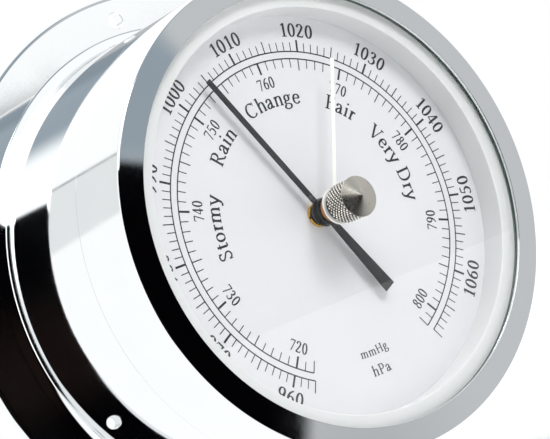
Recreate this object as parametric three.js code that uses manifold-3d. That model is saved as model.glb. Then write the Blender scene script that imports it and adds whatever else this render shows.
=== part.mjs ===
// Aneroid barometer in a flanged, chromed ship's case, for fixing to a wall.
// Millimetres. The origin is the centre of the flange's back face, which lies on the wall.
// +Z points to 12 o'clock, +X to 3 o'clock, and the dial faces -Y.
// "Depth" below is the distance from the wall towards the reader, so depth = -y.

import * as THREE from 'three';
import { mergeVertices } from 'three/addons/utils/BufferGeometryUtils.js';
import Module from 'manifold-3d';

const wasm = await Module();
wasm.setup();

// ---- Driving dimensions ------------------------------------------------------------------

const GAP = 0.3; // clearance between neighbouring pieces
const ROUND = 48; // facets round the case
const FINE = 16; // facets round a small turned piece
const HOLE_FACETS = 12;

// Case
const FLANGE_RADIUS = 68.7;
const FLANGE_THICKNESS = 3;
const FRONT_ROUND = 1.5;
const BACK_ROUND = 0.9;
const DRUM_RADIUS = 56;
const DRUM_INNER_RADIUS = 54;
const ROOT_REACH = 4.6; // the hollow at the flange's root is wider than it is high
const ROOT_RISE = 1.8;
const SEAM_DEPTH = 36.5; // where the case ends and the bezel ring begins
const NECK_RADIUS = 54.2; // the case's front neck, which the bezel ring slides over
const NECK_INNER_RADIUS = 52.6;
const WALL_SCREW_CIRCLE = 62.2;
const WALL_SCREW_HOLE = 2;
const POCKET_RADIUS = 54.3; // recess for the back cover
const POCKET_DEPTH = 1.8;
const COVER_HOLE = 3.8; // for the head of the adjusting screw
const VENT_RADIUS = 1.5;
const VENT_CIRCLE = 18;
const LEDGE_RADIUS = 50.2;
const LEDGE_FRONT = 5.4;

// Front of the case
const DIAL_DEPTH = 46.3; // the printed face
const DIAL_THICKNESS = 0.8;
const DIAL_RADIUS = 54.3;
const OPENING_RADIUS = 50.1;
const BEZEL_OUTER_EDGE = 54.9;
const BEZEL_INNER_EDGE = 55.65;
const LIP_BACK = 54.95;
const GLASS_RADIUS = 51.6;
const GLASS_BACK = 53.4;
const GLASS_FRONT = 54.9;
const GLASS_HOLE = 2.6;
const GASKET_BACK = 53;
const WALL_RADIUS = 46.8; // inner face of the spacer between dial and glass

// Movement plates, from the back forwards
const COVER_BACK = 0.3;
const BASE_PLATE = [14, 15.6];
const BASE_RADIUS = 36;
const BASE_HOLE = 3;
const MID_PLATE = [30, 31.2];
const MID_HALF_WIDTH = 22.5;
const MID_HALF_HEIGHT = 22;
const WINDOW_RADIUS = 5;
const WINDOW_OFFSET = 15.5;
const BRIDGE = [42, 43.2];
const REAR_PILLAR_CIRCLE = 29;
const FRAME_PILLAR_CIRCLE = 31;
const PILLAR_RADIUS = 3;
const BRIDGE_PILLAR_RADIUS = 2.2;
const BEARING_OUTER = 2.1;
const BEARING_COLLAR = 2.8;
const DIAL_HOLE = BEARING_OUTER + GAP;
const SCREW_SHANK = 1;
const SCREW_HOLE = SCREW_SHANK + GAP;
const SCREW_HEAD = 2;
const SCREW_HEAD_HEIGHT = 1.2;
const SLOT_WIDTH = 0.5;
const SHORT_SCREW = 4.5;
const LONG_SCREW = 5;

// Aneroid capsule: two corrugated halves, mirrored about its middle
const CAPSULE_RADIUS = 24.5;
const CAPSULE_MIDDLE = 19.35;
const CAPSULE_SKIN = 0.5;
const CAPSULE_RIM_GAP = 0.5;
const CAPSULE_HEIGHT = 6.3;
const CORRUGATIONS = 4;
const CORRUGATION_DEPTH = 0.4;
const CAPSULE_POST_TOP = 24;

// Rocking shaft: its short finger rides on the capsule's post, its long arm moves the sector
const ROCKER = { z: 2, depth: 26, radius: 1, left: -33, right: 30 };
const ROCKER_ARM = 12;
const BRACKET_X = 28;

// Toothed sector and pinion
const GEAR_MODULE = 0.35;
const PINION_TEETH = 12;
const SECTOR_TEETH = 120; // on the full circle, of which only a stretch is cut
const SECTOR_FIRST_TOOTH = -7;
const SECTOR_LAST_TOOTH = 6;
const PRESSURE_ANGLE = THREE.MathUtils.degToRad(20);
const PINION_PITCH = (GEAR_MODULE * PINION_TEETH) / 2;
const SECTOR_PITCH = (GEAR_MODULE * SECTOR_TEETH) / 2;
const SECTOR_X = -(PINION_PITCH + SECTOR_PITCH);
const SECTOR_TAIL = 8;
const WEB_RADIUS = 17.5; // inner edge of the sector's toothed rim
const SECTOR_PLATE = [39, 40.2];
const ARBOR_RADIUS = 0.8;

// Hands: angles are clockwise from 12 o'clock, as read on the dial
const POINTER_ANGLE = -23.7;
const POINTER_LENGTH = 39.6;
const POINTER_TAIL = 23;
const POINTER_PLATE = [DIAL_DEPTH + 2.3, DIAL_DEPTH + 2.7];
const SET_HAND_ANGLE = 26.1;
const SET_HAND_LENGTH = 35.3;
const SET_HAND_PLATE = [GASKET_BACK, GASKET_BACK + 0.25];
const SET_HAND_HALF_WIDTH = 0.48;
const BUSH_RADIUS = 4.25;
const BUSH_FRONT = 55.5;
const KNOB_NECK = 3.7;
const KNOB_RADIUS = 4.7;
const KNOB_BACK = 56.6;
const KNOB_FRONT = 63.1;
const KNOB_TIP = 64.6;

// ---- Materials -----------------------------------------------------------------------------

const finish = (color, roughness, metalness) =>
  new THREE.MeshStandardMaterial({ color, roughness, metalness });

const chrome = finish(0xdfe3e6, 0.05, 1);
const brass = finish(0xc99a2e, 0.3, 1);
const nickel = finish(0xb3ada0, 0.3, 1);
const steel = finish(0xa9adb2, 0.35, 1);
const copper = finish(0xb8692f, 0.3, 1);
const dialWhite = finish(0xeef0f2, 0.6, 0);
const paleLacquer = finish(0xd5dad6, 0.5, 0);
const blackLacquer = finish(0x101113, 0.3, 0);
const whiteNylon = finish(0xf2f2ee, 0.5, 0);
const greyRubber = finish(0x6f807a, 0.7, 0);
const clearGlass = finish(0xdfeee8, 0.02, 0);
clearGlass.transparent = true;
clearGlass.opacity = 0.25;

// ---- Shape helpers ---------------------------------------------------------------------------

// Points on an arc of a turned profile, in degrees from the outward direction.
function arc(radius, depth, [across, along], from, to, steps) {
  const points = [];
  for (let i = 0; i <= steps; i += 1) {
    const angle = THREE.MathUtils.degToRad(from + ((to - from) * i) / steps);
    points.push([radius + across * Math.cos(angle), depth + along * Math.sin(angle)]);
  }
  return points;
}

// A piece turned about the dial's axis. The profile is a closed loop of [radius, depth]
// points, or one that starts and ends on the axis.
function turned(profile, facets = FINE) {
  const points = profile.map(([radius, depth]) => new THREE.Vector2(radius, -depth));
  if (THREE.ShapeUtils.area(points) < 0) points.reverse();
  const onAxis = points[0].x === 0 && points.at(-1).x === 0;
  if (!onAxis) points.push(points[0].clone());
  return new THREE.LatheGeometry(points, facets);
}

function tube(inner, outer, back, front, facets = FINE) {
  return turned([[inner, back], [outer, back], [outer, front], [inner, front]], facets);
}

function rod(radius, back, front, facets = FINE) {
  return turned([[0, back], [radius, back], [radius, front], [0, front]], facets);
}

// A flat plate, drawn in x and z, between two depths.
function plate(shape, [back, front], facets = 6) {
  const options = { depth: front - back, bevelEnabled: false, curveSegments: facets };
  const geometry = new THREE.ExtrudeGeometry(shape, options);
  geometry.rotateX(Math.PI / 2);
  return geometry.translate(0, -back, 0);
}

// A plate standing on edge across x, drawn in depth and z.
function crossPlate(shape, x, thickness) {
  const geometry = new THREE.ExtrudeGeometry(shape, { depth: thickness, bevelEnabled: false });
  const stand = new THREE.Matrix4().makeBasis(
    new THREE.Vector3(0, -1, 0), new THREE.Vector3(0, 0, 1), new THREE.Vector3(-1, 0, 0));
  geometry.applyMatrix4(stand);
  return geometry.translate(x + thickness / 2, 0, 0);
}

function circle(x, z, radius) {
  const points = [];
  for (let i = 0; i < HOLE_FACETS; i += 1) {
    const angle = (2 * Math.PI * i) / HOLE_FACETS;
    points.push(new THREE.Vector2(x + radius * Math.cos(angle), z + radius * Math.sin(angle)));
  }
  return new THREE.Path(points);
}

function polygon(points) {
  return new THREE.Shape(points.map(([x, z]) => new THREE.Vector2(x, z)));
}

// The outline of equal discs at the corners of a convex polygon, listed anticlockwise.
function roundedPolygon(corners, radius) {
  const shape = new THREE.Shape();
  const count = corners.length;
  const heading = (i) => {
    const [x0, z0] = corners[(i + count) % count];
    const [x1, z1] = corners[(i + 1) % count];
    return Math.atan2(z1 - z0, x1 - x0) - Math.PI / 2;
  };
  corners.forEach(([x, z], i) => {
    shape.absarc(x, z, radius, heading(i - 1), heading(i), false);
  });
  shape.closePath();
  return shape;
}

function withHoles(shape, holes) {
  shape.holes.push(...holes);
  return shape;
}

// ---- Joining and cutting ---------------------------------------------------------------------

function toSolid(geometry) {
  const bare = geometry.clone();
  bare.deleteAttribute('normal');
  bare.deleteAttribute('uv');
  const merged = mergeVertices(bare, 1e-4);
  const index = merged.index.array;
  const triangles = [];
  for (let i = 0; i < index.length; i += 3) {
    const [a, b, c] = index.slice(i, i + 3);
    if (a !== b && b !== c && c !== a) triangles.push(a, b, c);
  }
  return new wasm.Manifold(
    new wasm.Mesh({
      numProp: 3,
      vertProperties: new Float32Array(merged.attributes.position.array),
      triVerts: new Uint32Array(triangles),
    }),
  );
}

function toGeometry(solid) {
  const mesh = solid.getMesh();
  const geometry = new THREE.BufferGeometry();
  geometry.setAttribute('position', new THREE.BufferAttribute(mesh.vertProperties, 3));
  geometry.setIndex(new THREE.BufferAttribute(mesh.triVerts, 1));
  geometry.computeVertexNormals();
  return geometry;
}

const cut = (base, ...tools) =>
  toGeometry(tools.reduce((solid, tool) => solid.subtract(toSolid(tool)), toSolid(base)));

const join = (base, ...others) =>
  toGeometry(others.reduce((solid, other) => solid.add(toSolid(other)), toSolid(base)));

// ---- Scene graph -----------------------------------------------------------------------------

const barometer = new THREE.Group();

function add(name, geometry, material, group = barometer) {
  const mesh = new THREE.Mesh(geometry, material);
  mesh.name = name;
  group.add(mesh);
  return mesh;
}

// Places on a circle, at angles clockwise from 12 o'clock.
function around(radius, ...angles) {
  return angles.map((degrees) => {
    const angle = THREE.MathUtils.degToRad(degrees);
    return [radius * Math.sin(angle), radius * Math.cos(angle)];
  });
}

const at = (geometry, [x, z]) => geometry.translate(x, 0, z);

// Slotted screws: the head lies at the given depth. A panhead is driven from the front,
// a countersunk one from the back.
function slot(depthFrom, depthTo) {
  const geometry = new THREE.BoxGeometry(3 * SCREW_HEAD, depthTo - depthFrom, SLOT_WIDTH);
  return geometry.translate(0, -(depthFrom + depthTo) / 2, 0);
}

function panheadScrew(seat, length) {
  const top = seat + SCREW_HEAD_HEIGHT;
  const body = turned([
    [0, seat - length],
    [SCREW_SHANK, seat - length],
    [SCREW_SHANK, seat],
    [SCREW_HEAD, seat],
    [SCREW_HEAD, top - 0.4],
    [SCREW_HEAD - 0.4, top],
    [0, top],
  ], HOLE_FACETS);
  return cut(body, slot(top - 0.5, top + 1));
}

function countersunkScrew(length) {
  const back = COVER_BACK + 0.05;
  const body = turned([
    [0, back],
    [SCREW_HEAD, back],
    [SCREW_SHANK, back + SCREW_HEAD - SCREW_SHANK],
    [SCREW_SHANK, back + length],
    [0, back + length],
  ], HOLE_FACETS);
  return cut(body, slot(back - 1, back + 0.45));
}

const WALL_SCREWS = around(WALL_SCREW_CIRCLE, 0, 120, 240);
const COVER_SCREWS = around((LEDGE_RADIUS + DRUM_INNER_RADIUS) / 2, 60, 180, 300);
const REAR_PILLARS = around(REAR_PILLAR_CIRCLE, 0, 120, 240);
const FRAME_PILLARS = around(FRAME_PILLAR_CIRCLE, 45, 135, 225, 315);
const BRIDGE_PILLARS = [[9, 8], [9, -8], [-24, 10.5]];

// ---- Case ------------------------------------------------------------------------------------

function caseShell() {
  const back = [BACK_ROUND, BACK_ROUND];
  const front = [FRONT_ROUND, FRONT_ROUND];
  const root = [ROOT_REACH, ROOT_RISE];
  const shell = turned([
    [POCKET_RADIUS, 0],
    ...arc(FLANGE_RADIUS - BACK_ROUND, BACK_ROUND, back, -90, 0, 3),
    ...arc(FLANGE_RADIUS - FRONT_ROUND, FLANGE_THICKNESS - FRONT_ROUND, front, 0, 90, 3),
    ...arc(DRUM_RADIUS + ROOT_REACH, FLANGE_THICKNESS + ROOT_RISE, root, 270, 180, 4),
    [DRUM_RADIUS, SEAM_DEPTH - GAP],
    [NECK_RADIUS, SEAM_DEPTH - GAP],
    [NECK_RADIUS, DIAL_DEPTH - DIAL_THICKNESS],
    [NECK_INNER_RADIUS, DIAL_DEPTH - DIAL_THICKNESS],
    [NECK_INNER_RADIUS, SEAM_DEPTH],
    [DRUM_INNER_RADIUS, SEAM_DEPTH - 2],
    [DRUM_INNER_RADIUS, LEDGE_FRONT],
    [LEDGE_RADIUS, LEDGE_FRONT],
    [LEDGE_RADIUS, POCKET_DEPTH],
    [POCKET_RADIUS, POCKET_DEPTH],
  ], ROUND);
  const wallHoles = WALL_SCREWS.map((place) =>
    at(rod(WALL_SCREW_HOLE, -1, FLANGE_THICKNESS + 1), place));
  const coverHoles = COVER_SCREWS.map((place) =>
    at(rod(SCREW_HOLE, POCKET_DEPTH - 1, LEDGE_FRONT + 1, HOLE_FACETS), place));
  return cut(shell, ...wallHoles, ...coverHoles);
}

function bezelRing() {
  const inner = NECK_RADIUS + 0.4;
  const shoulder = DIAL_DEPTH + GAP;
  return turned([
    [DRUM_RADIUS, SEAM_DEPTH],
    [DRUM_RADIUS, BEZEL_OUTER_EDGE - 0.4],
    [DRUM_RADIUS - 0.4, BEZEL_OUTER_EDGE],
    [OPENING_RADIUS + 0.25, BEZEL_INNER_EDGE],
    [OPENING_RADIUS, BEZEL_INNER_EDGE - 0.2],
    [OPENING_RADIUS, LIP_BACK],
    [GLASS_RADIUS + GAP, LIP_BACK],
    [GLASS_RADIUS + GAP, shoulder],
    [inner, shoulder],
    [inner, SEAM_DEPTH],
  ], ROUND);
}

// A hole that a countersunk head fills, through the back cover.
function countersink(place) {
  const head = SCREW_HEAD + GAP;
  const seat = COVER_BACK + head - SCREW_HOLE;
  return at(turned([
    [0, COVER_BACK - 1],
    [head, COVER_BACK - 1],
    [head, COVER_BACK],
    [SCREW_HOLE, seat],
    [SCREW_HOLE, POCKET_DEPTH + 1],
    [0, POCKET_DEPTH + 1],
  ], HOLE_FACETS), place);
}

function backCover() {
  const disc = plate(
    withHoles(new THREE.Shape().absarc(0, 0, POCKET_RADIUS - GAP, 0, 2 * Math.PI, false), [
      circle(0, 0, COVER_HOLE),
      circle(0, -VENT_CIRCLE, VENT_RADIUS),
    ]),
    [COVER_BACK, POCKET_DEPTH],
    ROUND,
  );
  return cut(disc, ...[...COVER_SCREWS, ...REAR_PILLARS].map(countersink));
}

add('case_shell', caseShell(), chrome);
add('bezel_ring', bezelRing(), chrome);
add('back_cover', backCover(), chrome);
COVER_SCREWS.forEach((place, i) => {
  add(`cover_screw_${i + 1}`, at(countersunkScrew(SHORT_SCREW), place), steel);
});

// ---- Dial and glass --------------------------------------------------------------------------

const DIAL_BACK = DIAL_DEPTH - DIAL_THICKNESS;
const SPACER_OUTER = GLASS_RADIUS - 0.2;
const GASKET_INNER = OPENING_RADIUS + 0.2;
add('dial_plate', tube(DIAL_HOLE, DIAL_RADIUS, DIAL_BACK, DIAL_DEPTH, ROUND), dialWhite);
add('spacer_ring', tube(WALL_RADIUS, SPACER_OUTER, DIAL_DEPTH, GASKET_BACK, ROUND), paleLacquer);
add('glass_gasket', tube(GASKET_INNER, GLASS_RADIUS, GASKET_BACK, GLASS_BACK, ROUND), greyRubber);
add('glass', tube(GLASS_HOLE, GLASS_RADIUS, GLASS_BACK, GLASS_FRONT, ROUND), clearGlass);

// ---- Movement frame --------------------------------------------------------------------------

function basePlate() {
  const disc = new THREE.Shape().absarc(0, 0, BASE_RADIUS, 0, 2 * Math.PI, false);
  const holes = REAR_PILLARS.map(([x, z]) => circle(x, z, SCREW_HOLE));
  return plate(withHoles(disc, [circle(0, 0, BASE_HOLE), ...holes]), BASE_PLATE, ROUND);
}

function midPlate() {
  const [across, up] = [MID_HALF_WIDTH, MID_HALF_HEIGHT];
  const outline = roundedPolygon([[-across, -up], [across, -up], [across, up], [-across, up]], 4.5);
  const screwHoles = FRAME_PILLARS.map(([x, z]) => circle(x, z, SCREW_HOLE));
  const pivotHoles = [[0, 0], [SECTOR_X, 0]].map(([x, z]) => circle(x, z, ARBOR_RADIUS + GAP));
  const windows = [-1, 1].map((side) => circle(0, side * WINDOW_OFFSET, WINDOW_RADIUS));
  return plate(withHoles(outline, [...screwHoles, ...pivotHoles, ...windows]), MID_PLATE);
}

function frontBridge() {
  const outline = roundedPolygon([[-24, -1.5], [9, -8], [9, 8], [-24, 10.5]], 3.6);
  const screwHoles = BRIDGE_PILLARS.map(([x, z]) => circle(x, z, SCREW_HOLE));
  const pivots = [circle(0, 0, DIAL_HOLE), circle(SECTOR_X, 0, ARBOR_RADIUS + GAP)];
  return plate(withHoles(outline, [...screwHoles, ...pivots]), BRIDGE);
}

add('base_plate', basePlate(), steel);
add('movement_plate', midPlate(), brass);
add('front_bridge', frontBridge(), brass);
REAR_PILLARS.forEach((place, i) => {
  const pillar = tube(SCREW_HOLE, PILLAR_RADIUS, POCKET_DEPTH, BASE_PLATE[0]);
  add(`rear_pillar_${i + 1}`, at(pillar, place), steel);
  add(`rear_pillar_screw_${i + 1}`, at(countersunkScrew(LONG_SCREW), place), steel);
  add(`base_plate_screw_${i + 1}`, at(panheadScrew(BASE_PLATE[1], LONG_SCREW), place), steel);
});
FRAME_PILLARS.forEach((place, i) => {
  const pillar = tube(SCREW_HOLE, PILLAR_RADIUS, BASE_PLATE[1], MID_PLATE[0]);
  add(`frame_pillar_${i + 1}`, at(pillar, place), brass);
  add(`frame_screw_${i + 1}`, at(panheadScrew(MID_PLATE[1], LONG_SCREW), place), steel);
});
BRIDGE_PILLARS.forEach((place, i) => {
  const pillar = tube(SCREW_HOLE, BRIDGE_PILLAR_RADIUS, MID_PLATE[1], BRIDGE[0]);
  add(`bridge_pillar_${i + 1}`, at(pillar, place), brass);
  add(`bridge_screw_${i + 1}`, at(panheadScrew(BRIDGE[1], LONG_SCREW), place), steel);
});

// The pointer's front bearing: a bush through bridge and dial, with a slotted collar.
function frontBearing() {
  const collar = DIAL_DEPTH + 0.8;
  const bush = turned([
    [ARBOR_RADIUS + GAP, BRIDGE[0] - 0.5],
    [BEARING_OUTER, BRIDGE[0] - 0.5],
    [BEARING_OUTER, DIAL_DEPTH],
    [BEARING_COLLAR, DIAL_DEPTH],
    [BEARING_COLLAR, collar - 0.25],
    [BEARING_COLLAR - 0.3, collar],
    [ARBOR_RADIUS + GAP, collar],
  ]);
  const slots = [0, 1].map((turn) => {
    const groove = new THREE.BoxGeometry(7, 0.8, 0.6).translate(0, -collar, 0);
    return groove.rotateY((turn * Math.PI) / 2);
  });
  return cut(bush, ...slots);
}
add('front_bearing', frontBearing(), brass);

// ---- Aneroid capsule and its adjusting screw ---------------------------------------------------

// How far a half's outer face stands from the capsule's middle, at a radius.
function capsuleHeight(radius) {
  const share = (radius - 3) / (CAPSULE_RADIUS - 4);
  const rim = (CAPSULE_RIM_GAP / 2) + CAPSULE_SKIN;
  const crown = CAPSULE_HEIGHT / 2;
  const wave = CORRUGATION_DEPTH * Math.sin(2 * Math.PI * CORRUGATIONS * share);
  return crown + (rim - crown) * share ** 2 + wave;
}

// One half as distances from the capsule's middle: outer skin out, inner skin back.
function capsuleSkin() {
  const radii = [];
  const steps = 3 * CORRUGATIONS;
  for (let i = 0; i <= steps; i += 1) radii.push(3 + ((CAPSULE_RADIUS - 4) * i) / steps);
  const rim = CAPSULE_RIM_GAP / 2;
  const outer = radii.map((radius) => [radius, capsuleHeight(radius)]);
  const inner = radii.map((radius) => [radius, capsuleHeight(radius) - CAPSULE_SKIN]);
  return [
    ...outer,
    [CAPSULE_RADIUS, rim + CAPSULE_SKIN],
    [CAPSULE_RADIUS, rim],
    ...inner.reverse(),
  ];
}

const CAPSULE_CROWN = CAPSULE_HEIGHT / 2 - CAPSULE_SKIN;
const STUD_BACK = 13.8;
const STUD_BORE = 2.1;
const STUD_BORE_END = 16.5;
const POST_RADIUS = 0.8;
const BOSS_RADIUS = 2.5;
const BOSS_TOP = CAPSULE_MIDDLE + CAPSULE_HEIGHT / 2 + 0.4;

const capsuleBase = [
  [0, STUD_BORE_END],
  [STUD_BORE, STUD_BORE_END],
  [STUD_BORE, STUD_BACK],
  [BASE_HOLE - GAP, STUD_BACK],
  ...capsuleSkin().map(([radius, height]) => [radius, CAPSULE_MIDDLE - height]),
  [0, CAPSULE_MIDDLE - CAPSULE_CROWN],
];
const capsuleTop = [
  [0, CAPSULE_POST_TOP],
  [POST_RADIUS, CAPSULE_POST_TOP],
  [POST_RADIUS, BOSS_TOP + 0.3],
  [BOSS_RADIUS, BOSS_TOP],
  ...capsuleSkin().map(([radius, height]) => [radius, CAPSULE_MIDDLE + height]),
  [0, CAPSULE_MIDDLE + CAPSULE_CROWN],
];
add('capsule_base', turned(capsuleBase, 28), nickel);
add('capsule_top', turned(capsuleTop, 28), nickel);

const ADJUSTER = { back: 0.6, shoulder: 3, front: 16, head: 3.2, edge: 0.4 };
const adjuster = turned([
  [0, ADJUSTER.back],
  [ADJUSTER.head - ADJUSTER.edge, ADJUSTER.back],
  [ADJUSTER.head, ADJUSTER.back + ADJUSTER.edge],
  [ADJUSTER.head, ADJUSTER.shoulder],
  [STUD_BORE - GAP, ADJUSTER.shoulder],
  [STUD_BORE - GAP, ADJUSTER.front],
  [0, ADJUSTER.front],
]);
const adjusterSlot = new THREE.BoxGeometry(8, 1.4, 0.9).translate(0, -ADJUSTER.back, 0);
add('adjusting_screw', cut(adjuster, adjusterSlot), brass);

// ---- Rocking shaft ---------------------------------------------------------------------------

const PIVOT_HOLE = ROCKER.radius + GAP;

function rockerBracket() {
  const foot = BASE_PLATE[1];
  const outline = polygon([
    [foot, ROCKER.z - 3],
    [ROCKER.depth + 2, ROCKER.z - 3],
    [ROCKER.depth + 2, ROCKER.z + 3],
    [foot, ROCKER.z + 3],
  ]);
  return withHoles(outline, [circle(ROCKER.depth, ROCKER.z, PIVOT_HOLE)]);
}

// The long arm ends in a fork that takes the sector's tail pin.
function rockerFork() {
  const tip = ROCKER.depth + ROCKER_ARM;
  const outline = polygon([
    [ROCKER.depth - 2.2, ROCKER.z - 2],
    [ROCKER.depth + 2, ROCKER.z - 2.2],
    [tip - 3, -2],
    [tip + 0.3, -1.7],
    [tip + 0.3, -0.8],
    [tip - 1.2, -0.8],
    [tip - 1.2, 0.8],
    [tip + 0.3, 0.8],
    [tip + 0.3, 1.7],
    [tip - 3, 2],
    [ROCKER.depth + 2, ROCKER.z + 2.2],
    [ROCKER.depth - 2.2, ROCKER.z + 2],
  ]);
  return withHoles(outline, [circle(ROCKER.depth, ROCKER.z, PIVOT_HOLE)]);
}

function rockerFinger() {
  const face = CAPSULE_POST_TOP + GAP;
  const outline = polygon([
    [face, -0.9],
    [face + 1.2, -0.9],
    [ROCKER.depth + 1.8, ROCKER.z - 1],
    [ROCKER.depth + 1.8, ROCKER.z + 1.8],
    [face, ROCKER.z + 1.8],
  ]);
  return withHoles(outline, [circle(ROCKER.depth, ROCKER.z, PIVOT_HOLE)]);
}

const rockerShaft = new THREE.CylinderGeometry(
  ROCKER.radius, ROCKER.radius, ROCKER.right - ROCKER.left, FINE);
rockerShaft.rotateZ(Math.PI / 2);
rockerShaft.translate((ROCKER.right + ROCKER.left) / 2, -ROCKER.depth, ROCKER.z);
add('rocker_shaft', rockerShaft, steel);
add('rocker_fork', crossPlate(rockerFork(), SECTOR_X - SECTOR_TAIL, 1), brass);
add('rocker_finger', crossPlate(rockerFinger(), 0, 2), steel);
add('rocker_bracket_left', crossPlate(rockerBracket(), -BRACKET_X, 3), brass);
add('rocker_bracket_right', crossPlate(rockerBracket(), BRACKET_X, 3), brass);

// ---- Sector and pinion -----------------------------------------------------------------------

// Half of a tooth's angle at a radius, for an involute tooth with a little backlash.
function toothHalfAngle(teeth, radius) {
  const pitch = (GEAR_MODULE * teeth) / 2;
  const base = pitch * Math.cos(PRESSURE_ANGLE);
  const involute = (angle) => Math.tan(angle) - angle;
  const reach = Math.acos(Math.min(1, base / radius));
  const backlash = 0.06;
  return Math.PI / (2 * teeth) - backlash / pitch + involute(PRESSURE_ANGLE) - involute(reach);
}

// A tooth's outline about a centre, anticlockwise, from root to tip and back to root.
function toothPoints(teeth, tip, root, middle, [x, z] = [0, 0]) {
  const radii = [root, (root + 2 * tip) / 3, tip];
  const place = (radius, side) => {
    const angle = middle + side * toothHalfAngle(teeth, radius);
    return [x + radius * Math.cos(angle), z + radius * Math.sin(angle)];
  };
  const rising = radii.map((radius) => place(radius, -1));
  const falling = radii.toReversed().map((radius) => place(radius, 1));
  return [...rising, ...falling];
}

function pinionOutline() {
  const points = [];
  const step = (2 * Math.PI) / PINION_TEETH;
  const tip = PINION_PITCH + 0.9 * GEAR_MODULE;
  const root = PINION_PITCH - 1.1 * GEAR_MODULE;
  for (let tooth = 0; tooth < PINION_TEETH; tooth += 1) {
    points.push(...toothPoints(PINION_TEETH, tip, root, (tooth + 0.5) * step));
  }
  return polygon(points);
}

function sectorOutline() {
  const centre = [SECTOR_X, 0];
  const step = (2 * Math.PI) / SECTOR_TEETH;
  const tip = SECTOR_PITCH + 0.6 * GEAR_MODULE;
  const root = SECTOR_PITCH - 1.3 * GEAR_MODULE;
  const rim = (radius, angle) => [SECTOR_X + radius * Math.cos(angle), radius * Math.sin(angle)];
  const first = (SECTOR_FIRST_TOOTH - 1) * step;
  const last = (SECTOR_LAST_TOOTH + 1) * step;
  const teeth = [];
  for (let tooth = SECTOR_FIRST_TOOTH; tooth <= SECTOR_LAST_TOOTH; tooth += 1) {
    teeth.push(...toothPoints(SECTOR_TEETH, tip, root, tooth * step, centre));
  }
  const tail = SECTOR_X - SECTOR_TAIL;
  const outline = polygon([
    [tail - 1, -1.2],
    [SECTOR_X - 2, -2],
    [SECTOR_X, -3],
    rim(WEB_RADIUS, first),
    rim(root, first),
    ...teeth,
    rim(root, last),
    rim(WEB_RADIUS, last),
    [SECTOR_X, 3],
    [SECTOR_X - 2, 2],
    [tail - 1, 1.2],
  ]);
  const window = polygon([
    rim(8, 0),
    rim(16.5, first * 0.72),
    rim(WEB_RADIUS, 0),
    rim(16.5, last * 0.72),
  ]);
  return withHoles(outline, [circle(SECTOR_X, 0, ARBOR_RADIUS + GAP), window]);
}

const tailPin = rod(0.5, SECTOR_PLATE[0] - 1.5, SECTOR_PLATE[0] + 0.5, 12);
tailPin.translate(SECTOR_X - SECTOR_TAIL, 0, 0);
add('sector_gear', join(plate(sectorOutline(), SECTOR_PLATE), tailPin), brass);
add('sector_arbor', at(rod(ARBOR_RADIUS, MID_PLATE[0] - 0.6, BRIDGE[1] + 0.6), [SECTOR_X, 0]), steel);

const pinion = plate(pinionOutline(), [SECTOR_PLATE[0] - 0.4, SECTOR_PLATE[1] + 0.4]);
const ARBOR_FRONT = DIAL_DEPTH + 4.4;
add('pointer_arbor', join(rod(ARBOR_RADIUS, MID_PLATE[0] - 0.6, ARBOR_FRONT), pinion), steel);

// ---- Hairspring ------------------------------------------------------------------------------

const SPRING = { inner: 2.3, outer: 6.8, turns: 5, back: 34.1, front: 34.9, thickness: 0.2 };

function springOutline() {
  const steps = 16 * SPRING.turns;
  const edge = (offset) => {
    const points = [];
    for (let i = 0; i <= steps; i += 1) {
      const angle = (2 * Math.PI * SPRING.turns * i) / steps;
      const radius = SPRING.inner + ((SPRING.outer - SPRING.inner) * i) / steps + offset;
      points.push([radius * Math.cos(angle), radius * Math.sin(angle)]);
    }
    return points;
  };
  return polygon([...edge(SPRING.thickness / 2), ...edge(-SPRING.thickness / 2).reverse()]);
}

const COLLET_RADIUS = 1.9;
const STUD_SIDE = 1.2;
const STUD_FRONT = SPRING.front + 0.4;
const studX = SPRING.outer + (SPRING.thickness + STUD_SIDE) / 2 + GAP;
const springStud = new THREE.BoxGeometry(STUD_SIDE, STUD_FRONT - MID_PLATE[1], STUD_SIDE);
springStud.translate(studX, -(STUD_FRONT + MID_PLATE[1]) / 2, 0);
add('hairspring', plate(springOutline(), [SPRING.back, SPRING.front]), copper);
add('hairspring_stud', springStud, brass);
const collet = tube(ARBOR_RADIUS + GAP, COLLET_RADIUS, SPRING.back - 0.2, SPRING.front + 0.2);
add('hairspring_collet', collet, brass);

// ---- Pointer ---------------------------------------------------------------------------------

// A hand drawn pointing to 12 o'clock, then turned to its reading.
function handGroup(degrees) {
  const group = new THREE.Group();
  group.rotation.y = THREE.MathUtils.degToRad(degrees);
  barometer.add(group);
  return group;
}

const POINTER_HOLE = 2.7;
const HUB_RADIUS = 3.2;
const HUB_FRONT = DIAL_DEPTH + 5.2;
const TIP_HALF_WIDTH = 0.65;
const WAIST_HALF_WIDTH = 0.72;
const TAIL_HALF_WIDTH = 1.57;
const pointerGroup = handGroup(POINTER_ANGLE);
const blade = plate(polygon([
  [-TIP_HALF_WIDTH, POINTER_LENGTH],
  [-WAIST_HALF_WIDTH, 2],
  [-TAIL_HALF_WIDTH, -POINTER_TAIL],
  [TAIL_HALF_WIDTH, -POINTER_TAIL],
  [WAIST_HALF_WIDTH, 2],
  [TIP_HALF_WIDTH, POINTER_LENGTH],
]), POINTER_PLATE);
const eye = tube(POINTER_HOLE, POINTER_HOLE + 0.6, ...POINTER_PLATE);
const pointerBore = rod(POINTER_HOLE, POINTER_PLATE[0] - 1, POINTER_PLATE[1] + 1);
add('pointer', join(cut(blade, pointerBore), eye), blackLacquer, pointerGroup);

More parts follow.
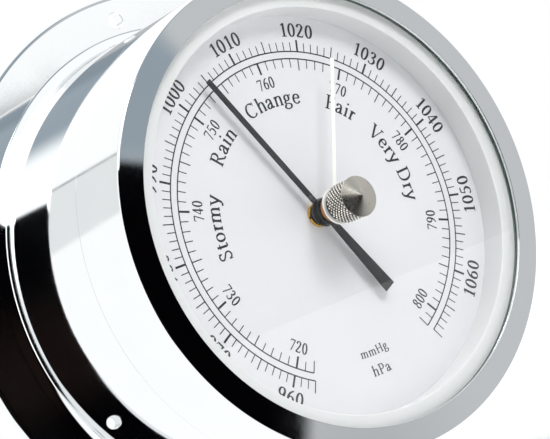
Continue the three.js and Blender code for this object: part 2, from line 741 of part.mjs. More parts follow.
const pointerHub = turned([
  [0, ARBOR_FRONT + GAP],
  [ARBOR_RADIUS + 0.1, ARBOR_FRONT + GAP],
  [ARBOR_RADIUS + 0.1, DIAL_DEPTH + 1],
  [POINTER_HOLE - GAP, DIAL_DEPTH + 1],
  [POINTER_HOLE - GAP, POINTER_PLATE[1] + 0.1],
  [HUB_RADIUS - 0.1, POINTER_PLATE[1] + 0.1],
  [HUB_RADIUS, POINTER_PLATE[1] + 0.5],
  [HUB_RADIUS, HUB_FRONT - 0.3],
  [HUB_RADIUS - 0.3, HUB_FRONT],
  [0, HUB_FRONT],
]);
add('pointer_hub', pointerHub, blackLacquer, pointerGroup);

// ---- Set hand and its knob ---------------------------------------------------------------------

const SHAFT = 1.5;
const SHAFT_HOLE = SHAFT + GAP;
const EYE_RADIUS = 2.8;
const NUT = [HUB_FRONT + GAP, HUB_FRONT + GAP + 0.4];
const NUT_RADIUS = 2.4;
const WASHER_RADIUS = 3.4;
const setGroup = handGroup(SET_HAND_ANGLE);

const knob = turned([
  [0, NUT[0]],
  [SHAFT, NUT[0]],
  [SHAFT, BUSH_FRONT + 0.1],
  [KNOB_NECK, BUSH_FRONT + 0.1],
  [KNOB_NECK, KNOB_BACK],
  [KNOB_RADIUS - 0.2, KNOB_BACK],
  [KNOB_RADIUS, KNOB_BACK + 0.2],
  [KNOB_RADIUS, KNOB_FRONT],
  [0, KNOB_TIP],
], 24);
add('set_knob', knob, nickel, setGroup);

const setBlade = plate(polygon([
  [-SET_HAND_HALF_WIDTH, SET_HAND_LENGTH],
  [-SET_HAND_HALF_WIDTH, 2.2],
  [SET_HAND_HALF_WIDTH, 2.2],
  [SET_HAND_HALF_WIDTH, SET_HAND_LENGTH],
]), SET_HAND_PLATE);
const setEye = tube(SHAFT_HOLE, EYE_RADIUS, ...SET_HAND_PLATE);
add('set_hand', join(setBlade, setEye), nickel, setGroup);

add('set_hand_nut', tube(SHAFT_HOLE, NUT_RADIUS, ...NUT), brass, setGroup);

// A wavy spring washer: a flat ring whose points rise and fall round it.
function springWasher() {
  const thickness = 0.2;
  const wave = 0.18;
  const middle = (NUT[1] + SET_HAND_PLATE[0]) / 2;
  const ring = tube(SHAFT_HOLE, WASHER_RADIUS, middle - thickness / 2, middle + thickness / 2, 24);
  const position = ring.attributes.position;
  for (let i = 0; i < position.count; i += 1) {
    const bearing = Math.atan2(position.getX(i), position.getZ(i));
    position.setY(i, position.getY(i) + wave * Math.cos(3 * bearing));
  }
  return ring;
}
add('spring_washer', springWasher(), copper, setGroup);

const knobBush = turned([
  [SHAFT_HOLE, GLASS_BACK + 0.1],
  [GLASS_HOLE - GAP, GLASS_BACK + 0.1],
  [GLASS_HOLE - GAP, GLASS_FRONT],
  [BUSH_RADIUS, GLASS_FRONT],
  [BUSH_RADIUS, BUSH_FRONT - 0.2],
  [BUSH_RADIUS - 0.2, BUSH_FRONT],
  [SHAFT_HOLE, BUSH_FRONT],
], 24);
add('knob_bush', knobBush, whiteNylon);

export default barometer;
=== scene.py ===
"""Aneroid barometer: camera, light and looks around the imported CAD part.

Lengths in the part's own tables are millimetres. "Depth" is the distance from the wall
towards the reader, and angles on the dial are clockwise from 12 o'clock.
"""

import math

import bmesh
import bpy
from mathutils import Matrix, Vector
from mathutils.geometry import delaunay_2d_cdt


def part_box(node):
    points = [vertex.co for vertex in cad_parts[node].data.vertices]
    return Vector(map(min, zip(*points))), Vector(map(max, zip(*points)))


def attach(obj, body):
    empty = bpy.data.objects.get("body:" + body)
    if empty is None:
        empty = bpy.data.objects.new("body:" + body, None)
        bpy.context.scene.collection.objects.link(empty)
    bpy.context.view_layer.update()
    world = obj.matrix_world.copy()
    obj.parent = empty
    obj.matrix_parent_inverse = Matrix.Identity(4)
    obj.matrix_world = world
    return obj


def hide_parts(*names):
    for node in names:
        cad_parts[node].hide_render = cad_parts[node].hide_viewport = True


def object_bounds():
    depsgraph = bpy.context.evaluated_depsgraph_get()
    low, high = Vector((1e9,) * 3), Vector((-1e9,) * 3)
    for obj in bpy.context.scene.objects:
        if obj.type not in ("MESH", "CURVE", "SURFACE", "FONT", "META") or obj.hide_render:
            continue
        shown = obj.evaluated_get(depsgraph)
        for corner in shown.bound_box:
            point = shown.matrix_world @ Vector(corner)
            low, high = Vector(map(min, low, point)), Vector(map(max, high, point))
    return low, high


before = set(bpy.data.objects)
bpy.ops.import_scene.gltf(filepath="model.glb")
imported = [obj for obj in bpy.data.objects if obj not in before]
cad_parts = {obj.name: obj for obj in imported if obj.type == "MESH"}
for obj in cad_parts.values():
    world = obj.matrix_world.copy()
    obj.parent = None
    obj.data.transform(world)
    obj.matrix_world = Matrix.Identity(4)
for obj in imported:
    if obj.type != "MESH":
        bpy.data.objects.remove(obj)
cad_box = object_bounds()

MM = 0.001


# ---- Sizes taken from the frame ----


def reach(node):
    """Largest x that a node turned about the dial's axis has, in millimetres."""
    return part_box(node)[1].x / MM


def depths(node):
    """Depths of a node's back and front, in millimetres."""
    low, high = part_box(node)
    return -high.y / MM, -low.y / MM


FLANGE_RADIUS = reach("case_shell")
DRUM_RADIUS = reach("bezel_ring")
SEAM_DEPTH, BEZEL_FRONT = depths("bezel_ring")
DIAL_BACK, DIAL_FRONT = depths("dial_plate")
DIAL_RADIUS = reach("dial_plate")
GLASS_BACK, GLASS_FRONT = depths("glass")
GLASS_RADIUS = reach("glass")
GASKET_BACK = depths("glass_gasket")[0]
OPENING_RADIUS = 50.1
COVER_BACK, COVER_FRONT = depths("back_cover")
COVER_RADIUS = reach("back_cover")
WALL_HOLE_CIRCLE = 62.2
WALL_HOLE_RADIUS = 2.0
THIRDS = (0, 120, 240)
PILLAR_CIRCLE = 29
COVER_SCREW_ANGLES = (60, 180, 300)
POINTER_ANGLE = -23.7
SET_HAND_ANGLE = 26.1
KNOB_RADIUS = 4.68
KNURL_DEPTH = 0.3
KNOB_TIP = depths("set_knob")[1]


# ---- Camera ----

CAMERA_PLACE = Vector((-0.36204, -0.51672, -0.01677))
CAMERA_RIGHT = Vector((0.74816, -0.54246, -0.38210))
CAMERA_UP = Vector((0.28825, -0.25296, 0.92354))
CAMERA_LENS = 173.25


def make_camera():
    data = bpy.data.cameras.new("camera")
    data.lens = CAMERA_LENS
    data.sensor_width = 36
    data.clip_start, data.clip_end = 0.01, 20
    camera = bpy.data.objects.new("camera", data)
    bpy.context.scene.collection.objects.link(camera)
    right = CAMERA_RIGHT.normalized()
    back = right.cross(CAMERA_UP).normalized()
    up = back.cross(right)
    turn = Matrix((right, up, back)).transposed()
    camera.matrix_world = Matrix.Translation(CAMERA_PLACE) @ turn.to_4x4()
    bpy.context.scene.camera = camera


# ---- Node helpers ----


class Nodes:
    """Short ways of adding linked nodes to one material or world."""

    def __init__(self, tree):
        self.tree = tree

    def add(self, kind, **settings):
        node = self.tree.nodes.new(kind)
        for name, value in settings.items():
            setattr(node, name, value)
        return node

    def link(self, source, target):
        self.tree.links.new(source, target)

    def feed(self, node, inputs):
        for key, value in inputs.items():
            socket = node.inputs[key]
            if isinstance(value, bpy.types.NodeSocket):
                self.link(value, socket)
            else:
                socket.default_value = value
        return node

    def math(self, operation, first, second=0.0):
        node = self.add("ShaderNodeMath", operation=operation)
        return self.feed(node, {0: first, 1: second}).outputs[0]

    def position(self):
        return self.add("ShaderNodeTexCoord").outputs["Object"]

    def axes(self, vector):
        return self.feed(self.add("ShaderNodeSeparateXYZ"), {0: vector}).outputs

    def noise(self, vector, scale, detail=3.0, roughness=0.5):
        inputs = {"Vector": vector, "Scale": scale, "Detail": detail, "Roughness": roughness}
        return self.feed(self.add("ShaderNodeTexNoise"), inputs).outputs["Fac"]

    def spread(self, value, low, high, start=0.3, end=0.7, smooth=False):
        kind = "SMOOTHSTEP" if smooth else "LINEAR"
        node = self.add("ShaderNodeMapRange", interpolation_type=kind)
        inputs = {"Value": value, "From Min": start, "From Max": end}
        inputs.update({"To Min": low, "To Max": high})
        return self.feed(node, inputs).outputs["Result"]

    def blend(self, share, first, second):
        node = self.add("ShaderNodeMix", data_type="RGBA")
        inputs = {"Factor": share, "A": first, "B": second}
        for key, value in inputs.items():
            socket = [s for s in node.inputs if s.name == key and s.enabled][0]
            if isinstance(value, bpy.types.NodeSocket):
                self.link(value, socket)
            else:
                socket.default_value = value
        return [s for s in node.outputs if s.enabled][0]

    def bump(self, height, distance, strength=1.0):
        inputs = {"Height": height, "Distance": distance, "Strength": strength}
        return self.feed(self.add("ShaderNodeBump"), inputs).outputs["Normal"]

    def radius(self, vector):
        """Distance from the dial's axis."""
        x, _, z = self.axes(vector)
        squares = [self.math("MULTIPLY", side, side) for side in (x, z)]
        return self.math("SQRT", self.math("ADD", *squares))

    def turning(self, vector, pitch):
        """Height of fine circular tool marks about the dial's axis."""
        along = self.add("ShaderNodeCombineXYZ")
        depth = self.axes(vector)[1]
        self.feed(along, {0: self.math("DIVIDE", self.radius(vector), pitch),
                          1: self.math("DIVIDE", depth, pitch)})
        return self.noise(along.outputs[0], 1.0, 2.0, 0.6)


def colour(red, green, blue):
    return (red, green, blue, 1.0)


def new_material(name, **sockets):
    """A Principled material whose constant values sit on the shader's own sockets."""
    made = bpy.data.materials.new(name)
    made.use_nodes = True
    shader = made.node_tree.nodes["Principled BSDF"]
    for key, value in sockets.items():
        shader.inputs[key.replace("_", " ")].default_value = value
    return made, shader, Nodes(made.node_tree)


# ---- Materials ----


ORANGE_PEEL = 0.00001
SCRATCH_GRAIN = (900.0, 900.0, 60.0)


def chrome_material():
    made, shader, nodes = new_material("mirror_chrome", Metallic=1.0)
    where = nodes.position()
    haze = nodes.noise(where, 90.0, 4.0)
    rubs = nodes.noise(where, 1400.0, 2.0)
    tint = nodes.blend(haze, colour(0.775, 0.795, 0.81), colour(0.815, 0.83, 0.84))
    rough = nodes.math("ADD", nodes.spread(haze, 0.015, 0.05), nodes.spread(rubs, 0.0, 0.02))
    nodes.link(tint, shader.inputs["Base Color"])
    nodes.link(rough, shader.inputs["Roughness"])
    nodes.link(nodes.bump(rubs, 0.000002, 0.15), shader.inputs["Normal"])
    return made


def glass_material():
    made, shader, nodes = new_material(
        "clear_glass", Base_Color=colour(0.99, 0.993, 0.993), Roughness=0.0, IOR=1.5,
        Transmission_Weight=1.0)
    where = nodes.position()
    nodes.link(nodes.bump(nodes.noise(where, 60.0, 1.0), 0.000004, 0.1), shader.inputs["Normal"])
    path = nodes.add("ShaderNodeLightPath")
    passing = nodes.math("MAXIMUM", path.outputs["Is Shadow Ray"], path.outputs["Is Diffuse Ray"])
    clear = nodes.add("ShaderNodeBsdfTransparent")
    clear.inputs[0].default_value = colour(0.98, 0.983, 0.983)
    mixed = nodes.add("ShaderNodeMixShader")
    nodes.feed(mixed, {0: passing, 1: shader.outputs[0], 2: clear.outputs[0]})
    nodes.link(mixed.outputs[0], made.node_tree.nodes["Material Output"].inputs["Surface"])
    return made


def lacquer_material(name, shade, deeper, roughness, shine=0.5):
    """Paint or moulded plastic: a little mottled, with a fine orange-peel surface."""
    made, shader, nodes = new_material(name, Specular_IOR_Level=shine)
    where = nodes.position()
    mottle = nodes.noise(where, 60.0, 4.0)
    peel = nodes.noise(where, 2600.0, 3.0, 0.6)
    nodes.link(nodes.blend(mottle, colour(*shade), colour(*deeper)), shader.inputs["Base Color"])
    nodes.link(nodes.spread(peel, roughness - 0.06, roughness + 0.06), shader.inputs["Roughness"])
    nodes.link(nodes.bump(peel, ORANGE_PEEL, 0.5), shader.inputs["Normal"])
    return made


def turned_metal(name, shade, deeper, roughness, pitch=0.00006, anisotropy=0.0):
    """Metal cut on a lathe: fine rings about the axis, and slightly uneven polish."""
    made, shader, nodes = new_material(
        name, Metallic=1.0, Anisotropic=anisotropy, Anisotropic_Rotation=0.0)
    where = nodes.position()
    marks = nodes.turning(where, pitch)
    patches = nodes.noise(where, 500.0, 4.0)
    shades = nodes.blend(patches, colour(*shade), colour(*deeper))
    nodes.link(shades, shader.inputs["Base Color"])
    nodes.link(nodes.spread(patches, roughness - 0.05, roughness + 0.06),
               shader.inputs["Roughness"])
    nodes.link(nodes.bump(marks, 0.000003, 0.12), shader.inputs["Normal"])
    if anisotropy:
        tangent = nodes.add("ShaderNodeTangent", direction_type="RADIAL", axis="Y")
        nodes.link(tangent.outputs[0], shader.inputs["Tangent"])
    return made


def cut_metal(name, shade, deeper, roughness):
    """Rolled or drawn metal: long fine scratches and a little tarnish."""
    made, shader, nodes = new_material(name, Metallic=1.0)
    where = nodes.position()
    scaling = nodes.add("ShaderNodeMapping")
    nodes.feed(scaling, {"Vector": where, "Scale": SCRATCH_GRAIN})
    scratches = nodes.noise(scaling.outputs[0], 5.0, 4.0, 0.65)
    tarnish = nodes.noise(where, 220.0, 5.0, 0.6)
    nodes.link(nodes.blend(nodes.spread(tarnish, 0.0, 1.0), colour(*shade), colour(*deeper)),
               shader.inputs["Base Color"])
    rough = nodes.math("ADD", nodes.spread(scratches, -0.06, 0.08), roughness)
    nodes.link(rough, shader.inputs["Roughness"])
    nodes.link(nodes.bump(scratches, 0.000006, 0.3), shader.inputs["Normal"])
    return made


def knurl_material():
    """Bright worn crests over grooves coloured near black as painted shade."""
    made, shader, nodes = new_material("knurled_nickel", Metallic=1.0)
    where = nodes.position()
    speckle = nodes.noise(where, 2500.0, 3.0)
    deep = (KNOB_RADIUS - KNURL_DEPTH) * MM
    height = nodes.math("ADD", nodes.radius(where), nodes.spread(speckle, -0.00005, 0.00005))
    # Painted shade: the grooves below the crests are coloured near black, and the speckle noise
    # roughens that edge.
    crest = nodes.spread(height, 0.0, 1.0, deep + 0.06 * MM, deep + 0.24 * MM)
    nodes.link(nodes.blend(crest, colour(0.09, 0.085, 0.075), colour(0.80, 0.78, 0.74)),
               shader.inputs["Base Color"])
    nodes.link(nodes.spread(speckle, 0.09, 0.17), shader.inputs["Roughness"])
    nodes.link(nodes.bump(speckle, 0.000006, 0.3), shader.inputs["Normal"])
    return made


def ink_material():
    made, shader, nodes = new_material("printing_ink")
    where = nodes.position()
    patches = nodes.noise(where, 900.0, 3.0)
    nodes.link(nodes.blend(patches, colour(0.012, 0.014, 0.017), colour(0.022, 0.024, 0.028)),
               shader.inputs["Base Color"])
    nodes.link(nodes.spread(patches, 0.4, 0.6), shader.inputs["Roughness"])
    nodes.link(nodes.bump(patches, 0.000002, 0.3), shader.inputs["Normal"])
    return made


def make_materials():
    return {
        "chrome": chrome_material(),
        "glass": glass_material(),
        "dial": lacquer_material("dial_lacquer", (0.715, 0.715, 0.74), (0.73, 0.73, 0.755), 0.5),
        "pale": lacquer_material("pale_lacquer", (0.72, 0.73, 0.735), (0.75, 0.76, 0.76), 0.45),
        "rubber": lacquer_material("grey_rubber", (0.09, 0.13, 0.12), (0.13, 0.17, 0.16), 0.7),
        "black": lacquer_material("black_lacquer", (0.02, 0.021, 0.023), (0.035, 0.036, 0.038),
                                  0.35),
        "gloss_black": lacquer_material("gloss_black", (0.006, 0.006, 0.007),
                                        (0.010, 0.010, 0.011), 0.16, shine=0.1),
        "nylon": lacquer_material("white_nylon", (0.86, 0.86, 0.83), (0.82, 0.82, 0.79), 0.4),
        "hand": lacquer_material("pale_hand", (0.93, 0.91, 0.86), (0.96, 0.945, 0.90), 0.35),
        "nickel": turned_metal("turned_nickel", (0.62, 0.585, 0.52), (0.66, 0.63, 0.565), 0.23,
                               pitch=0.00025, anisotropy=0.9),
        "knurl": knurl_material(),
        "capsule": turned_metal("capsule_nickel", (0.64, 0.62, 0.58), (0.56, 0.54, 0.50), 0.3),
        "bronze": turned_metal("spring_bronze", (0.72, 0.30, 0.10), (0.60, 0.22, 0.07), 0.25),
        "brass": turned_metal("turned_brass", (0.82, 0.46, 0.06), (0.62, 0.32, 0.03), 0.22),
        "brass_plate": cut_metal("rolled_brass", (0.72, 0.50, 0.17), (0.60, 0.39, 0.11), 0.28),
        "steel": turned_metal("turned_steel", (0.56, 0.57, 0.58), (0.46, 0.47, 0.48), 0.28),
        "steel_plate": cut_metal("rolled_steel", (0.52, 0.53, 0.55), (0.42, 0.43, 0.44), 0.35),
        "ink": ink_material(),
    }


# ---- Building pieces ----


def new_piece(name, body, replaced, mesh, materials, sharp=35):
    """Finishes a mesh as a piece that rides on a body and stands for some CAD nodes."""
    for made in materials:
        mesh.materials.append(made)
    mesh.shade_smooth()
    mesh.set_sharp_from_angle(angle=math.radians(sharp))
    piece = bpy.data.objects.new(name, mesh)
    bpy.context.scene.collection.objects.link(piece)
    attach(piece, body)
    if replaced:
        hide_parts(*replaced)
    return piece


def to_mesh(name, build):
    """Turns a bmesh into a mesh with outward normals and no doubled points."""
    bmesh.ops.remove_doubles(build, verts=build.verts, dist=1e-7)
    bmesh.ops.recalc_face_normals(build, faces=build.faces)
    mesh = bpy.data.meshes.new(name)
    build.to_mesh(mesh)
    build.free()
    return mesh


SUPPORT = 0.04  # distance of the support rings beside a rounded corner
EASE_STEPS = 4


def eased(corners, closed=True):
    """A profile with its corners (radius, depth, ease) rounded, as plain points.

    The ease says how far the rounding reaches. Two numbers reach differently back and ahead.
    """
    count = len(corners)
    points = []
    for i, (radius, depth, ease) in enumerate(corners):
        here = Vector((radius, depth))
        if not ease or (not closed and i in (0, count - 1)):
            points.append(here)
            continue
        legs = [Vector(corners[j % count][:2]) - here for j in (i - 1, i + 1)]
        wanted = ease if isinstance(ease, tuple) else (ease, ease)
        sizes = [min(size, 0.45 * leg.length) for size, leg in zip(wanted, legs)]
        start, end = (here + leg.normalized() * size for leg, size in zip(legs, sizes))
        rooms = [0.8 * (0.5 * leg.length - size) for leg, size in zip(legs, sizes)]
        supports = [leg.normalized() * min(SUPPORT, room) for leg, room in zip(legs, rooms)]
        steps = EASE_STEPS + round(2.5 * max(sizes))
        points.append(start + supports[0])
        for step in range(steps + 1):
            t = step / steps
            points.append(start * (1 - t) ** 2 + here * 2 * t * (1 - t) + end * t ** 2)
        points.append(end + supports[1])
    return [(p.x, p.y) for p in points]


def lathe(build, profile, steps, closed=True, centre=(0.0, 0.0), material=0, lift=None):
    """Turns a profile of (radius, depth) about the dial's axis, or about another line."""
    rings = []
    for radius, depth in profile:
        ring = []
        for step in range(steps if radius > 1e-9 else 1):
            angle = 2 * math.pi * step / steps
            rise = lift(angle) if lift else 0.0
            x = centre[0] + radius * math.sin(angle)
            z = centre[1] + radius * math.cos(angle)
            ring.append(build.verts.new((x * MM, -(depth + rise) * MM, z * MM)))
        rings.append(ring)
    pairs = list(zip(rings, rings[1:] + rings[:1])) if closed else list(zip(rings, rings[1:]))
    for first, second in pairs:
        for step in range(steps):
            ahead = (step + 1) % steps
            corners = [first[step % len(first)], first[ahead % len(first)],
                       second[ahead % len(second)], second[step % len(second)]]
            distinct = list(dict.fromkeys(corners))
            if len(distinct) > 2:
                build.faces.new(distinct).material_index = material
    return rings


def turned_piece(name, body, slot, replaced, corners, materials, steps=96, closed=True, **extra):
    build = bmesh.new()
    lathe(build, eased(corners, closed), steps, closed, **extra)
    return new_piece(name, body, replaced, to_mesh(name, build), materials)


def carve(mesh, cutters):
    """A mesh with closed cutter meshes taken out of it."""
    base = bpy.data.objects.new("carving", mesh)
    bpy.context.scene.collection.objects.link(base)
    tools = []
    for cutter in cutters:
        tool = bpy.data.objects.new("cutter", cutter)
        bpy.context.scene.collection.objects.link(tool)
        step = base.modifiers.new("cut", "BOOLEAN")
        step.operation, step.solver, step.object = "DIFFERENCE", "EXACT", tool
        tools.append(tool)
    graph = bpy.context.evaluated_depsgraph_get()
    carved = bpy.data.meshes.new_from_object(base.evaluated_get(graph))
    for thing in [base, *tools]:
        bpy.data.objects.remove(thing)
    return carved


def lathe_mesh(profile, steps, centre=(0.0, 0.0), closed=True):
    build = bmesh.new()
    lathe(build, profile, steps, closed, centre)
    return to_mesh("turned", build)


def bar_mesh(centre, size, degrees=0.0):
    """A block: centre (x, depth, z), size (length, height, width), turned about the axis."""
    build = bmesh.new()
    turn = Matrix.Rotation(math.radians(degrees), 4, "Y")
    scale = Matrix.Diagonal((*(s * MM for s in size), 1))
    shift = Matrix.Translation(Vector((centre[0], -centre[1], centre[2])) * MM)
    bmesh.ops.create_cube(build, size=1.0, matrix=shift @ turn @ scale)
    return to_mesh("block", build)


def on_circle(radius, degrees):
    angle = math.radians(degrees)
    return radius * math.sin(angle), radius * math.cos(angle)


# ---- Flat outlines ----


def facing_up(polygon):
    """The polygon, running anticlockwise."""
    area = sum(x0 * z1 - x1 * z0
               for (x0, z0), (x1, z1) in zip(polygon, polygon[1:] + polygon[:1]))
    return polygon if area > 0 else polygon[::-1]


def united(polygons, holes=()):
    """Triangles that cover overlapping polygons once, less the holes."""
    points, faces = [], []
    for polygon in [*polygons, *holes]:
        faces.append(list(range(len(points), len(points) + len(polygon))))
        points.extend(Vector(p) for p in facing_up(polygon))
    result = delaunay_2d_cdt(points, [], faces, 0, 1e-6, True)
    vertices = [(v.x, v.y) for v in result[0]]
    kept = [tuple(face) for face, owners in zip(result[2], result[5])
            if owners and max(owners) < len(polygons)]
    return vertices, kept


def add_plate(build, vertices, faces, back, front, material=0):
    """Adds a closed plate between two depths with the outline that the faces cover."""
    used = sorted({i for face in faces for i in face})
    low = {i: build.verts.new((vertices[i][0] * MM, -back * MM, vertices[i][1] * MM))
           for i in used}
    high = {i: build.verts.new((vertices[i][0] * MM, -front * MM, vertices[i][1] * MM))
            for i in used}
    edges = {}
    for face in faces:
        for a, b in zip(face, face[1:] + face[:1]):
            edges[(a, b)] = edges.get((a, b), 0) + 1
        build.faces.new([high[i] for i in face]).material_index = material
        build.faces.new([low[i] for i in reversed(face)]).material_index = material
    for a, b in edges:
        if (b, a) not in edges:
            wall = build.faces.new([low[a], low[b], high[b], high[a]])
            wall.material_index = material


def ring_points(radius, count, centre=(0.0, 0.0)):
    return [(centre[0] + radius * math.cos(2 * math.pi * i / count),
             centre[1] + radius * math.sin(2 * math.pi * i / count)) for i in range(count)]


def plate_piece(name, body, replaced, polygons, holes, span, bevel, material, degrees=0.0):
    """A flat part with softened edges, drawn pointing to 12 o'clock and turned to its place."""
    build = bmesh.new()
    vertices, faces = united(polygons, holes)
    add_plate(build, vertices, faces, *span)
    bmesh.ops.dissolve_limit(build, angle_limit=math.radians(0.5), verts=build.verts,
                             edges=build.edges)
    bmesh.ops.recalc_face_normals(build, faces=build.faces)
    rims = [e for e in build.edges if e.is_manifold and e.calc_face_angle() > math.radians(50)]
    bmesh.ops.bevel(build, geom=rims, offset=bevel * MM, segments=2, affect="EDGES")
    build.transform(Matrix.Rotation(math.radians(degrees), 4, "Y"))
    return new_piece(name, body, replaced, to_mesh(name, build), [material])


# ---- Case ----

CASE_STEPS = 288
FLANGE_THICKNESS = 3.0
LEDGE_RADIUS, LEDGE_FRONT = 50.2, 5.4
COVER_SCREW_CIRCLE = (LEDGE_RADIUS + DRUM_RADIUS - 2) / 2
NECK_RADIUS, NECK_INNER = 54.2, 52.6
SEAM_GAP = 0.03


def make_case(look):
    seam = SEAM_DEPTH - SEAM_GAP
    shell = eased([
        (COVER_RADIUS + 0.3, 0, 0.3),
        (FLANGE_RADIUS, 0, 0.9),
        (FLANGE_RADIUS, FLANGE_THICKNESS, 1.5),
        (DRUM_RADIUS + 2.6, FLANGE_THICKNESS, 0.3),
        (DRUM_RADIUS, FLANGE_THICKNESS + 1.5, (2.0, 1.6)),
        (DRUM_RADIUS, seam, 0.03),
        (NECK_RADIUS, seam, 0),
        (NECK_RADIUS, DIAL_BACK, 0.2),
        (NECK_INNER, DIAL_BACK, 0.2),
        (NECK_INNER, SEAM_DEPTH, 0),
        (DRUM_RADIUS - 2, SEAM_DEPTH - 2, 0),
        (DRUM_RADIUS - 2, LEDGE_FRONT, 0.5),
        (LEDGE_RADIUS, LEDGE_FRONT, 0.2),
        (LEDGE_RADIUS, COVER_FRONT, 0.2),
        (COVER_RADIUS + 0.3, COVER_FRONT, 0.1),
    ])
    mesh = lathe_mesh(shell, CASE_STEPS)
    cutters = []
    chamfer = 0.06
    for degrees in THIRDS:
        place = on_circle(WALL_HOLE_CIRCLE, degrees)
        radius, thick = WALL_HOLE_RADIUS, FLANGE_THICKNESS
        drill = [(0, -1), (radius + chamfer + 1, -1), (radius, chamfer), (radius, thick - chamfer),
                 (radius + chamfer + 1, thick + 1), (0, thick + 1)]
        cutters.append(lathe_mesh(drill, 48, place, False))
    for degrees in COVER_SCREW_ANGLES:
        place = on_circle(COVER_SCREW_CIRCLE, degrees)
        drill = [(0, COVER_FRONT - 1), (1.3, COVER_FRONT - 1), (1.3, LEDGE_FRONT + 1),
                 (0, LEDGE_FRONT + 1)]
        cutters.append(lathe_mesh(drill, 24, place, False))
    new_piece("case", "case", ["case_shell"], carve(mesh, cutters), [look["chrome"]])


def make_bezel(look):
    shoulder = DIAL_FRONT + 0.3
    corners = [
        (DRUM_RADIUS, SEAM_DEPTH, 0.03),
        (DRUM_RADIUS, GLASS_FRONT, 0.5),
        (OPENING_RADIUS + 0.05, BEZEL_FRONT + 0.02, 0.12),
        (OPENING_RADIUS, GLASS_FRONT + 0.05, 0.08),
        (GLASS_RADIUS + 0.3, GLASS_FRONT + 0.05, 0),
        (GLASS_RADIUS + 0.3, shoulder, 0.1),
        (NECK_RADIUS + 0.4, shoulder, 0),
        (NECK_RADIUS + 0.4, SEAM_DEPTH, 0.1),
    ]
    turned_piece("bezel", "case", "chrome", ["bezel_ring"], corners, [look["chrome"]], CASE_STEPS)


# ---- Dial, gasket and glass ----

BEARING_HOLE = 2.4
WALL_RADIUS = 46.8


def make_dial(look):
    corners = [
        (BEARING_HOLE, DIAL_BACK, 0.08), (DIAL_RADIUS, DIAL_BACK, 0.1),
        (DIAL_RADIUS, DIAL_FRONT, 0.1), (BEARING_HOLE, DIAL_FRONT, 0.06),
    ]
    turned_piece("dial_face", "case", "dial_white", ["dial_plate"], corners, [look["dial"]], 192)
    wall = [
        (WALL_RADIUS, DIAL_FRONT, 0.15), (GLASS_RADIUS - 0.2, DIAL_FRONT, 0.1),
        (GLASS_RADIUS - 0.2, GASKET_BACK, 0.1), (WALL_RADIUS, GASKET_BACK, 0.3),
    ]
    turned_piece("dial_wall", "case", "pale_lacquer", ["spacer_ring"], wall, [look["pale"]], 192)
    seal = [
        (OPENING_RADIUS + 0.2, GASKET_BACK, 0.08), (GLASS_RADIUS, GASKET_BACK, 0.1),
        (GLASS_RADIUS, GLASS_BACK, 0.1), (OPENING_RADIUS + 0.2, GLASS_BACK, 0.08),
    ]
    turned_piece("glass_seal", "case", "grey_rubber", ["glass_gasket"], seal, [look["rubber"]],
                 192)


def make_glass(look):
    hole = 2.6
    corners = [
        (hole, GLASS_BACK, 0.1), (GLASS_RADIUS, GLASS_BACK, 0.15),
        (GLASS_RADIUS, GLASS_FRONT, 0.15), (hole, GLASS_FRONT, 0.1),
    ]
    turned_piece("glass_pane", "case", "glass", ["glass"], corners, [look["glass"]], 192)


# ---- Lettering ----

# Letters are drawn with a broad pen in a box whose unit is the height of a capital: upright
# strokes are thick and level ones thin.
THICK, THIN = 0.155, 0.075


def arc(cx, cy, rx, ry, start, end):
    """Points on an ellipse between two angles, in degrees anticlockwise from the right."""
    count = max(3, round(abs(end - start) / 15))
    angles = [math.radians(start + (end - start) * i / count) for i in range(count + 1)]
    return [(cx + rx * math.cos(a), cy + ry * math.sin(a)) for a in angles]


def curve(*knots):
    """A smooth line through the knots."""
    points = []
    ends = [knots[0], *knots, knots[-1]]
    for p0, p1, p2, p3 in zip(ends, ends[1:], ends[2:], ends[3:]):
        for i in range(5):
            t = i / 5
            points.append(tuple(
                0.5 * (2 * b + (c - a) * t + (2 * a - 5 * b + 4 * c - d) * t * t
                       + (3 * b - a - 3 * c + d) * t ** 3)
                for a, b, c, d in zip(p0, p1, p2, p3)))
    return [*points, knots[-1]]


def around_middle(corners):
    """Corners put in order about their middle, so that no two sides cross."""
    middle = [sum(corner[k] for corner in corners) / len(corners) for k in (0, 1)]
    return sorted(corners, key=lambda p: math.atan2(p[1] - middle[1], p[0] - middle[0]))


def pen(points, width=None):
    """A stroke's four-sided pieces. Its width follows the direction unless one is given."""
    edges = []
    for i, (x, y) in enumerate(points):
        x0, y0 = points[max(i - 1, 0)]
        x1, y1 = points[min(i + 1, len(points) - 1)]
        length = math.hypot(x1 - x0, y1 - y0)
        dx, dy = (x1 - x0) / length, (y1 - y0) / length
        half = (width or THIN + (THICK - THIN) * abs(dy) ** 1.5) / 2
        edges.append(((x - dy * half, y + dx * half), (x + dy * half, y - dx * half)))
    return [around_middle([*first, *second]) for first, second in zip(edges, edges[1:])]


def stem(x, low=0.0, high=1.0):
    return pen([(x, low), (x, high)], THICK)


def serif(x, y, left=0.14, right=0.14):
    """A flat foot or head on a stem, with its outer edge at y."""
    level = y + (THIN / 2 if y < 0.3 else -THIN / 2)
    return pen([(x - left, level), (x + right, level)], THIN)


def flag(x, y):
    """The slanted start at the top left of a small letter's stem."""
    return [[(x - 0.15, y - 0.06), (x - 0.15, y - 0.1), (x + 0.05, y - 0.14), (x + 0.07, y)]]


def dot(x, y, radius=0.08):
    return [ring_points(radius, 10, (x, y))]


X = 0.68  # height of a small letter

